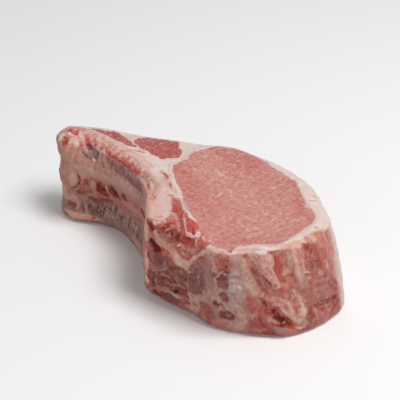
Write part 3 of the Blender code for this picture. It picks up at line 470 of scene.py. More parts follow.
     ((39.3, -44.3, 40.2, 0.9), (39.2, -44.5, 32.5, 1.1), (38.7, -44.2, 25.5, 1))),
    ("white speck", "fat", 0.4, 0.5, ((28.8, -43.8, 30.9, 0.5),)),
    ("second speck", "fat", 0.3, 0.5, ((33.1, -43.5, 29.3, 0.4),)),
    ("tan mottle", "tan grey", 0.1, 0.9,
     ((28.6, -42.8, 15.9, 1.9), (32.3, -43.2, 15.3, 2.8), (36.7, -43.7, 17.2, 2.3))),
    ("ragged pale line", "tendon", 0.4, 0.6,
     ((27.4, -42, 11.7, 0.5), (29.5, -42, 9.5, 0.8), (31.7, -42.3, 8.5, 0.6), (34, -43, 11.8, 0.4),
      (36, -43.4, 14.2, 0.3))),
    ("tan over the low edge", "tan", 0.1, 0.9,
     ((24.8, -40.8, 6.6, 1.4), (28.8, -41.4, 6.5, 2), (32.3, -42.4, 8.1, 1.2))),
    ("pale chunk", "tendon", 0.8, 0.5,
     ((16.2, -41.7, 11.3, 0.9), (19.2, -42.2, 11.6, 1.4), (21.4, -41.9, 10.9, 1.1))),
    # Painted shade in the dip over the chunk.
    ("dark over the chunk", "clot", -0.6, 0.5, ((17.4, -41.7, 13.1, 0.6), (19.6, -41.9, 13, 0.5))),
    ("brown edge", "dark edge", 0, 0.8, ((10, -40.3, 6.6, 2.6), (13.2, -40.5, 6.4, 3), (17.5, -40.6, 7.1, 3))),
    # Painted shade in the notch, over its own dark red.
    ("notch", "torn dark", -0.6, 0.6, ((3.9, -38.3, 4.2, 1.8), (6.3, -38.8, 3.8, 2.4), (7.5, -38.8, 2.8, 1.5))),
    ("red over the notch", "torn red", 0, 0.5, ((5.6, -39.3, 5.8, 1), (8, -40, 6.7, 0.8))),
    ("maroon edge", "maroon", 0, 0.7, ((21.4, -41.1, 8.2, 1.8), (25.8, -41.3, 8.9, 1.5))),
    ("pale septum", "tendon", 0.4, 0.5, ((27.8, -43.1, 18.2, 0.7), (28, -42.3, 12.8, 1), (29.8, -42.1, 9.7, 0.9))),
    ("bead at the corner", "pink lean", 0.6, 0.5, ((38.8, -44, 22.1, 1.2),)),
    ("maroon spot", "maroon", -0.3, 0.7, ((35.3, -43.3, 13.6, 1.8), (37.5, -43.5, 13.4, 2.4))),
)
# The side beside it, with the silver skin and the tendon.
MIDDLE_STROKES = (
    ("grey ground", "tan grey", 0, 5,
     ((42.3, -43.5, 21.7, 4.9), (47.1, -42, 20.3, 8.5), (51.4, -41.7, 17, 8.3), (53.1, -40.4, 8.2, 5.9))),
    ("middle of the side", "lean", 0, 4,
     ((43.7, -44.2, 43.1, 4.2), (58.3, -35.5, 41.3, 4.2), (65.6, -32.3, 28, 5.7), (64.1, -34.8, 19.2, 6),
      (64.7, -35.3, 9.9, 4.9))),
    ("cream over the corner", "tan light", 0.2, 1.4,
     ((38.7, -43.4, 47, 1.5), (41.8, -43.9, 48, 2.2), (42.9, -42.1, 48.7, 1.3))),
    ("orange lean", "tan", 0.2, 1.6, ((42, -44.2, 45.9, 2), (42.9, -44.2, 42.8, 2.1), (42.7, -44.3, 38.1, 1.5))),
    ("orange in the tan", "orange", 0.1, 1.2,
     ((43.6, -44.1, 45.4, 0.7), (44.2, -44.1, 42.1, 1), (43.5, -44.2, 37.1, 0.7))),
    ("grey blue by the tan", "blue grey", 0.1, 1.2,
     ((39.2, -44.1, 41.3, 1.1), (39.4, -44.5, 36.8, 1.4), (39.2, -44.4, 30.7, 1))),
    ("orange red lean", "lean red", 0.2, 1,
     ((46.2, -43.3, 48.2, 1.4), (46.7, -43.4, 45.1, 1.7), (46.6, -43.5, 42.2, 1.1))),
    ("red line", "torn red", -0.2, 0.5, ((48.6, -42.6, 47.1, 0.4), (48.9, -42.7, 44.9, 0.5))),
    ("tan beside the red", "tan", 0.2, 1.2,
     ((50.9, -41.7, 46.3, 1.4), (53, -39.7, 46.5, 1.9), (53.3, -38.5, 48.7, 1.1))),
    ("dark dot", "deep lean", -0.5, 0.5, ((48.5, -43, 41.8, 0.9),)),
    ("second dark dot", "deep lean", -0.4, 0.5, ((47.9, -43.2, 38.3, 0.7), (49.9, -42.9, 38.4, 0.9))),
    ("cream dot", "tendon", 0.3, 0.5, ((43, -44.3, 38.2, 0.7),)),
    ("second cream dot", "tendon", 0.3, 0.5, ((41.4, -44.5, 35.8, 0.6),)),
    ("third cream dot", "tan light", 0.4, 0.5, ((47.4, -43, 37.1, 0.8),)),
    ("grey left of the curve", "blue grey", 0, 1.2,
     ((40.3, -44.4, 32.4, 1.3), (40.2, -44.3, 28, 1.8), (40.9, -44.1, 25.7, 1.2))),
    # The dark hollows below are sunk and darkened: partly the flesh's own purple and brown, partly painted shade in
    # them.
    ("dark hollow", "deep purple", -0.6, 0.8,
     ((44.7, -43.6, 33.3, 1.5), (47, -42.6, 34.6, 1.9), (49.6, -42.7, 34.8, 1.4))),
    ("dark hollow, lower", "purple brown", -0.3, 0.8,
     ((45.1, -43.5, 29.8, 1.9), (47.1, -43.1, 29.5, 2), (48.9, -42.9, 31, 1.3))),
    ("pale curve", "tendon", 0.4, 0.5,
     ((47.6, -43.3, 39.1, 0.5), (45.6, -43.6, 37.4, 0.6), (44.4, -43.8, 34.9, 0.6), (42.7, -44.2, 32.4, 0.5),
      (43.3, -44, 30.4, 0.6), (43.3, -43.8, 27.4, 0.5), (42.1, -43.8, 24.9, 0.5))),
    ("second dark hollow", "purple brown", -0.6, 0.8, ((46.4, -41.9, 23.3, 1.8), (47.7, -41.6, 21.3, 2))),
    ("third dark hollow", "torn dark", -0.5, 0.8,
     ((42.6, -43.2, 17.3, 1.3), (43.5, -43, 15.8, 1.5), (44.9, -42.6, 16.3, 0.8))),
    ("third dark hollow, brown", "purple brown", -0.2, 0.8, ((46.2, -42.4, 17.3, 1), (47.1, -42, 15.4, 1))),
    ("grey patch", "blue grey", 0, 1.2, ((42.6, -43, 13.5, 1.6), (43.4, -42.8, 10.5, 1.6))),
    ("curl", "tendon", 0.4, 0.6, ((45.2, -42.5, 16.1, 0.4), (45.7, -42.3, 14.3, 0.5), (47, -41.8, 13.7, 0.5))),
    ("fourth dark hollow", "deep purple", -0.4, 1.2, ((47, -41.2, 10.6, 2.4), (49.6, -40.7, 10.9, 2.7))),
    ("brown corner", "brown dark", 0, 1.4,
     ((37.5, -43.4, 12.7, 2.4), (39.1, -43.3, 10.2, 3.2), (40.2, -43.1, 7.4, 2.3))),
    ("silver skin", "silver skin", 0.3, 2.4,
     ((52.2, -40.9, 44.5, 1.9), (53.1, -40.5, 39.4, 3.6), (53.7, -40.5, 33.7, 4.3), (54.2, -40.9, 28.1, 4.3),
      (53.5, -41.5, 22.1, 4), (53.3, -41.1, 16.2, 3.1))),
    ("silver skin, red shade", "purple pink", 0, 1.2, ((51, -42.1, 43.3, 1.1), (52.1, -41.6, 41.4, 1.1))),
    ("silver skin, light edge", "pale membrane", 0.3, 0.7,
     ((50.4, -42.7, 37.3, 0.5), (52.1, -42, 38.4, 0.6), (53.5, -40.3, 37.3, 0.5))),
    # The light patch is partly the silver skin's own paler membrane and partly painted highlight of its wet sheen.
    ("silver skin, light patch", "pale membrane", 0.3, 1.4,
     ((51.1, -42.6, 35.7, 1.4), (51.7, -42.6, 32.4, 2), (52.1, -42.5, 28.9, 1.6))),
    ("silver skin, thin dark line", "membrane dark", -0.3, 0.7,
     ((49.6, -42.9, 36.5, 0.3), (52.1, -42.3, 36.3, 0.4), (54.1, -40.1, 34.8, 0.3), (55.9, -39.4, 32.6, 0.2))),
    ("silver skin, second dark line", "membrane dark", -0.3, 0.7,
     ((50.2, -42.8, 31.9, 0.2), (52, -42.5, 33.3, 0.4), (53.5, -41.2, 30.7, 0.3), (54.9, -40.6, 27.3, 0.2))),
    ("silver skin, third dark line", "membrane dark", -0.3, 0.7,
     ((51.2, -42.5, 27.1, 0.3), (52.9, -42, 25.5, 0.4), (53.5, -41.5, 22.1, 0.3))),
    # The pale crests of the silver skin, here and below, are partly its own membrane and partly painted highlight
    # along them.
    ("silver skin, third crest", "fat", 0.3, 0.7,
     ((50.5, -42.7, 34, 0.3), (52, -42.5, 33.9, 0.4), (52.7, -42, 31.6, 0.2))),
    ("silver skin, fourth crest", "pale membrane", 0.4, 0.7,
     ((52.2, -42.2, 24.7, 0.3), (54.3, -41.1, 24.3, 0.5), (56, -40.4, 21.9, 0.4))),
    ("silver skin, fifth crest", "pale membrane", 0.4, 0.7,
     ((48.6, -42, 19.1, 0.3), (51, -41.9, 19.1, 0.6), (52.4, -41.4, 16.7, 0.4))),
    ("silver skin, brown speckle", "brown lean", -0.2, 0.8,
     ((51.4, -41.7, 17, 0.4), (53.3, -41, 14.9, 0.6), (53.6, -40.4, 11, 0.3))),
    ("silver skin, dark fold", "membrane dark", -0.2, 0.7, ((51.6, -42.5, 35.5, 0.5), (53.4, -41.1, 32.7, 0.4))),
    ("silver skin, crest", "pale membrane", 0.4, 0.7,
     ((49.6, -42.7, 33.4, 0.3), (51.1, -42.6, 35.1, 0.5), (52.8, -41.6, 34.2, 0.4), (53.9, -40.6, 32, 0.3))),
    ("silver skin, second crest", "pale membrane", 0.3, 0.7,
     ((49.4, -42.7, 27.9, 0.3), (51.3, -42.7, 30.7, 0.4), (53.3, -41.5, 30, 0.4), (55, -40.5, 28.2, 0.3))),
    # Painted highlight: a glint on the wet silver skin.
    ("painted glint on the silver skin", "fat", 0.5, 0.5,
     ((53.2, -41.4, 31.4, 0.4), (54.1, -40.6, 30.6, 0.6), (55.4, -40.2, 29.1, 0.3))),
    ("cream ridge", "tan", 0.5, 2.4,
     ((54.9, -38.2, 44.5, 1.5), (56, -38, 39, 2.2), (57.8, -37, 33.1, 3), (60.2, -35.7, 27.9, 3),
      (62.6, -34.8, 24.3, 1.9))),
    ("cream ridge, light", "tendon", 0.3, 1.2,
     ((56.6, -38.8, 32, 1), (58.2, -37.7, 29.5, 1.2), (60.6, -35.9, 26.4, 1))),
    ("cream foot of the silver skin", "tan", 0.2, 1.5,
     ((54.3, -41, 20.9, 1.6), (55.5, -40.3, 15.4, 2.1), (56.4, -39.6, 9.2, 2.2))),
    ("brown beside the foot", "brown lean", 0, 0.8, ((53.5, -40.6, 12.2, 0.5), (54.1, -40.2, 8.5, 0.6))),
    ("orange brown streak", "salmon red", 0, 1.6,
     ((55.7, -36.4, 48.4, 0.6), (56.6, -36.5, 44.7, 0.9), (57.5, -36.4, 40.3, 0.9))),
    ("red brown streak", "orange", 0, 1,
     ((57.1, -35.8, 45.7, 0.5), (57.7, -35.8, 42.4, 0.6), (58, -35.9, 39.6, 0.5))),
    ("purple pink lean", "purple pink", 0, 1.5,
     ((58.1, -35.4, 43.5, 1.3), (59.9, -34.5, 40.2, 1.9), (62.3, -33.7, 36.4, 2.2), (64.6, -32.7, 32, 1.8))),
    ("dark lean", "side red", -0.2, 1.2, ((57.9, -35.8, 41.3, 0.6), (59.2, -35, 37.8, 0.8), (60.3, -34, 35.2, 0.6))),
    ("brown under the slit", "purple pink", 0, 0.8,
     ((61.3, -33.6, 31.2, 1.1), (63.9, -33.1, 27.7, 1.4), (65.9, -32.6, 25.2, 1))),
    ("stripe under the slit", "side red", -0.1, 0.8, ((63, -33, 29.1, 0.5), (65.1, -32.6, 26.7, 0.5))),
    ("slit beside the flap", "torn dark", -0.4, 0.8,
     ((63.8, -33.4, 35.6, 0.5), (65.5, -32.4, 33, 0.8), (67.2, -31.4, 30.4, 0.7))),
    ("red zone", "salmon red", 0, 2.4,
     ((67.5, -26.5, 46.4, 2.2), (68.7, -25.3, 40.3, 3.1), (70.1, -25.4, 34.9, 3.1), (71.8, -26.1, 30.1, 3.1),
      (74.4, -25.4, 25.3, 2.7))),
    ("lean right of the flap", "side red", -0.3, 2,
     ((66.9, -27.5, 45, 1.2), (67.5, -27.3, 40.4, 1.8), (68.6, -26.9, 35.9, 1.7), (70.4, -26.5, 31.6, 1.3))),
    ("lower lean", "side red", 0, 2.4, ((70, -29.5, 28, 1), (72.7, -27.3, 26.1, 1.3), (75.3, -24.9, 23.5, 1.1))),
    ("salmon by the flap", "salmon red", 0.1, 2,
     ((68, -25.6, 48.4, 1.1), (69.3, -24.7, 46, 1.4), (69.8, -24.5, 42.6, 1.1))),
    ("pale pink over it", "strip", 0.3, 1.2,
     ((71.9, -22.9, 44.2, 0.8), (71.8, -23.5, 41, 1.4), (71.1, -24.5, 37.4, 1.3), (69.9, -25.4, 34.9, 0.7))),
    ("pale edge over it", "tan light", 0.3, 0.8,
     ((72.6, -22.7, 43.1, 0.3), (71.8, -23.8, 39.4, 0.4), (69.9, -25.2, 36.2, 0.3))),
    ("fold over it", "tendon", 0.2, 0.5,
     ((68.5, -25.4, 41.5, 0.2), (69.6, -24.8, 39.2, 0.4), (70.7, -24.7, 37.1, 0.3))),
    ("light ground round the flap", "strip", 0.1, 2,
     ((56.8, -35.1, 48.6, 1.4), (58.7, -34.6, 46.2, 2), (61.2, -34, 43.9, 1.9))),
    ("flap", "flap pink", 0.7, 1.2,
     ((58.9, -34, 48.2, 1.7), (61.2, -33.3, 46.9, 2.9), (63.4, -32.3, 44.8, 3.4), (64.8, -32.2, 41.3, 2.5),
      (66.4, -31.7, 36.9, 1.6), (68, -30.4, 31.9, 1.1))),
    ("flap, left edge", "tan light", 0.4, 0.6,
     ((56.2, -35.9, 48.3, 0.2), (58, -35.2, 45.1, 0.5), (59.8, -34.5, 42.7, 0.4), (62.4, -34, 39.6, 0.6),
      (64.7, -33.2, 36.5, 0.5), (66.6, -31.9, 32.9, 0.4), (68.1, -31, 29.3, 0.3))),
    ("flap, far edge", "tan light", 0.4, 0.7,
     ((65.3, -28.6, 48, 0.3), (66.1, -29.1, 42.8, 0.5), (66.3, -30.1, 40, 0.5), (67.7, -29.7, 35.5, 0.5),
      (69.4, -28.9, 31, 0.6), (69.4, -29.8, 29.1, 0.6), (68.4, -30.8, 29, 0.5))),
    ("flap, fold", "salmon red", -0.2, 0.8,
     ((60.5, -33.9, 45.8, 0.4), (62.5, -33.6, 43, 0.6), (64.6, -33.1, 40, 0.6), (66.3, -32.1, 35.9, 0.4))),
    ("flap, second fold", "tendon", 0.2, 0.7,
     ((62.6, -32, 46.7, 0.4), (64.5, -31.3, 43.5, 0.5), (65.4, -31.7, 40.6, 0.4))),
    ("flap, pale top", "fat", 0.4, 1, ((58.7, -33.8, 48.6, 0.7), (60.7, -32.7, 48.5, 1.1), (62.7, -31, 48.2, 0.8))),
    ("flap, third fold", "tendon", 0.2, 0.8,
     ((60, -34.3, 44.7, 0.3), (61.6, -33.9, 44, 0.4), (63.6, -33.5, 41, 0.4), (65.6, -32.2, 37.7, 0.2))),
    ("flap, dark fold", "side red", -0.3, 0.8,
     ((64.2, -32.6, 42.4, 0.2), (65.8, -31.8, 39.1, 0.4), (67, -31, 35.7, 0.3))),
    ("flap, pink shade", "salmon red", -0.1, 1.4,
     ((60.7, -33.7, 46.1, 0.5), (62.6, -32.9, 44.6, 0.8), (64.6, -31.5, 43.1, 0.5))),
    ("flap, red mark", "fresh red", 0, 0.5, ((63.3, -29.9, 48.7, 0.3), (63.7, -30.1, 47.8, 0.4))),
    ("thin line under the slit", "tendon", 0.3, 0.5,
     ((61.5, -33.7, 35.2, 0.4), (62.9, -33, 31.4, 0.4), (65.1, -32.5, 28.4, 0.4), (67, -31.8, 26.4, 0.3))),
    ("red patch", "side red", 0, 3, ((58.2, -39.2, 23.3, 0.5), (59.6, -38.6, 20.6, 1.2), (61.6, -37.1, 17.2, 1.3))),
    ("tan beside the red patch", "tan", 0.1, 1.2,
     ((58.3, -39.5, 19.8, 0.5), (59.9, -38.8, 16.4, 0.8), (61, -38.1, 11.5, 0.6))),
    ("red patch, dark", "side red", -0.2, 1.4, ((58.5, -39.1, 23.5, 0.6), (59.8, -38.4, 20.3, 0.7))),
    ("purple patch", "purple pink", 0, 1, ((60.5, -36.9, 23.6, 1.1), (62, -36.1, 21, 1.3), (63.4, -35.4, 18.1, 0.9))),
    ("lower red", "right lean dark", 0, 3,
     ((61.3, -37.5, 16.1, 1.2), (63.2, -36.2, 12.3, 1.7), (65.1, -35.4, 7.9, 1.8))),
    ("brown red of the low left", "deep lean", -0.1, 1.4,
     ((62.5, -36.6, 12.9, 0.5), (64.5, -35.4, 9.9, 0.7), (66.3, -35, 6.6, 0.6))),
    ("lower red, dark", "side red", -0.2, 1.2,
     ((61.6, -37.3, 14.9, 0.5), (62.7, -36.8, 10.7, 0.7), (64.2, -36.2, 6.5, 0.6))),
    ("brown by the cream ridge", "right lean dark", -0.1, 1.4,
     ((58.3, -39.3, 21.6, 0.5), (59.6, -38.9, 18.8, 0.9), (60.5, -38.4, 15.1, 0.6))),
    ("dark drop", "torn dark", -0.5, 0.8, ((64.8, -33.9, 21.6, 0.9), (65.9, -33.7, 19.2, 1))),
    ("brown by the drop", "side red", -0.2, 0.8, ((61.9, -35.5, 23.8, 0.5), (63.6, -34.6, 22.7, 0.9))),
    ("purple strip", "pink grey", 0.3, 0.9,
     ((65.8, -33.1, 15.1, 0.6), (66.8, -32.8, 11.6, 1), (68.1, -33.5, 7.7, 0.8))),
    ("torn hollow", "torn red", -0.6, 1,
     ((65.9, -33.1, 15.8, 1.8), (68.1, -30.9, 12.8, 2.7), (70.8, -28.5, 9.4, 2.7), (74, -27.1, 7.7, 2.7),
      (76.5, -25.4, 6.2, 1.8))),
    # The deep strokes in the torn hollow are painted shade over the torn flesh's own dark red.
    ("torn hollow, deep", "torn dark", -0.8, 0.8,
     ((68.3, -31.3, 16.2, 0.9), (69.2, -29.9, 13.1, 1.3), (70.6, -28.1, 10.1, 1.3))),
    ("flesh over the torn hollow", "side red", 0.2, 1,
     ((67.2, -32.7, 20, 0.7), (69.2, -31.1, 17.7, 1.3), (71.5, -29.1, 14.9, 1.2))),
    ("torn hollow, second deep", "torn dark", -0.8, 0.8, ((72.2, -27.9, 9, 1.2), (74.5, -26.5, 7.6, 1.3))),
    ("torn hollow, bright", "fresh red", -0.2, 0.8, ((75.2, -25.7, 8, 0.6), (76.7, -25, 6.5, 0.8))),
    ("torn hollow, bright edge", "fresh red", -0.1, 0.7, ((64.9, -34.1, 15.6, 0.5), (65.9, -33.3, 13.6, 0.5))),
    ("torn hollow, third deep", "torn dark", -0.6, 0.7, ((69.8, -31.6, 8, 0.6), (72.9, -29.1, 6.7, 0.8))),
    ("pale fold", "pink grey", 0.5, 0.8,
     ((66.5, -32.9, 12.2, 0.5), (68, -31.8, 10.1, 0.9), (69.9, -30.8, 8.7, 1), (71.5, -29.6, 7.8, 0.6))),
    ("pale fold, light", "tan light", 0.2, 0.7,
     ((67.2, -32.1, 10.9, 0.2), (68.7, -31.1, 9.8, 0.4), (70.1, -30.1, 8.9, 0.2))),
    ("second pale fold", "salmon red", 0.3, 0.6, ((66.8, -32.5, 12.9, 0.4), (68.1, -30.8, 11.7, 0.6))),
    ("speck in the hollow", "fat", 0.3, 0.5, ((73, -27.9, 8, 0.5),)),
    ("skin under the hollow", "membrane dark", 0.3, 0.8,
     ((68.7, -33.4, 6.9, 0.8), (72, -31.2, 5.3, 1.3), (75.5, -28.4, 4.3, 1.1))),
    ("brown underside edge", "dark edge", 0, 1,
     ((59.8, -38.2, 3.8, 1), (65.1, -35.7, 3.4, 1.2), (69.5, -33.6, 2.9, 1.5), (74.6, -29.7, 1.9, 0.7))),
    ("dot", "torn red", -0.2, 0.5, ((61, -33.8, 35, 0.6),)),
    ("second dot", "deep lean", -0.2, 0.5, ((60, -33.7, 33.1, 0.4),)),
    ("tan under the lip", "tan light", 0, 1,
     ((52, -38.2, 49.2, 1.5), (54.9, -35.7, 49.1, 1.2), (57.4, -33.5, 49.3, 0.5))),
    ("orange under the lip", "orange", 0, 0.7, ((54.2, -38, 48.2, 0.4), (55.4, -36.5, 48.5, 0.5))),
)
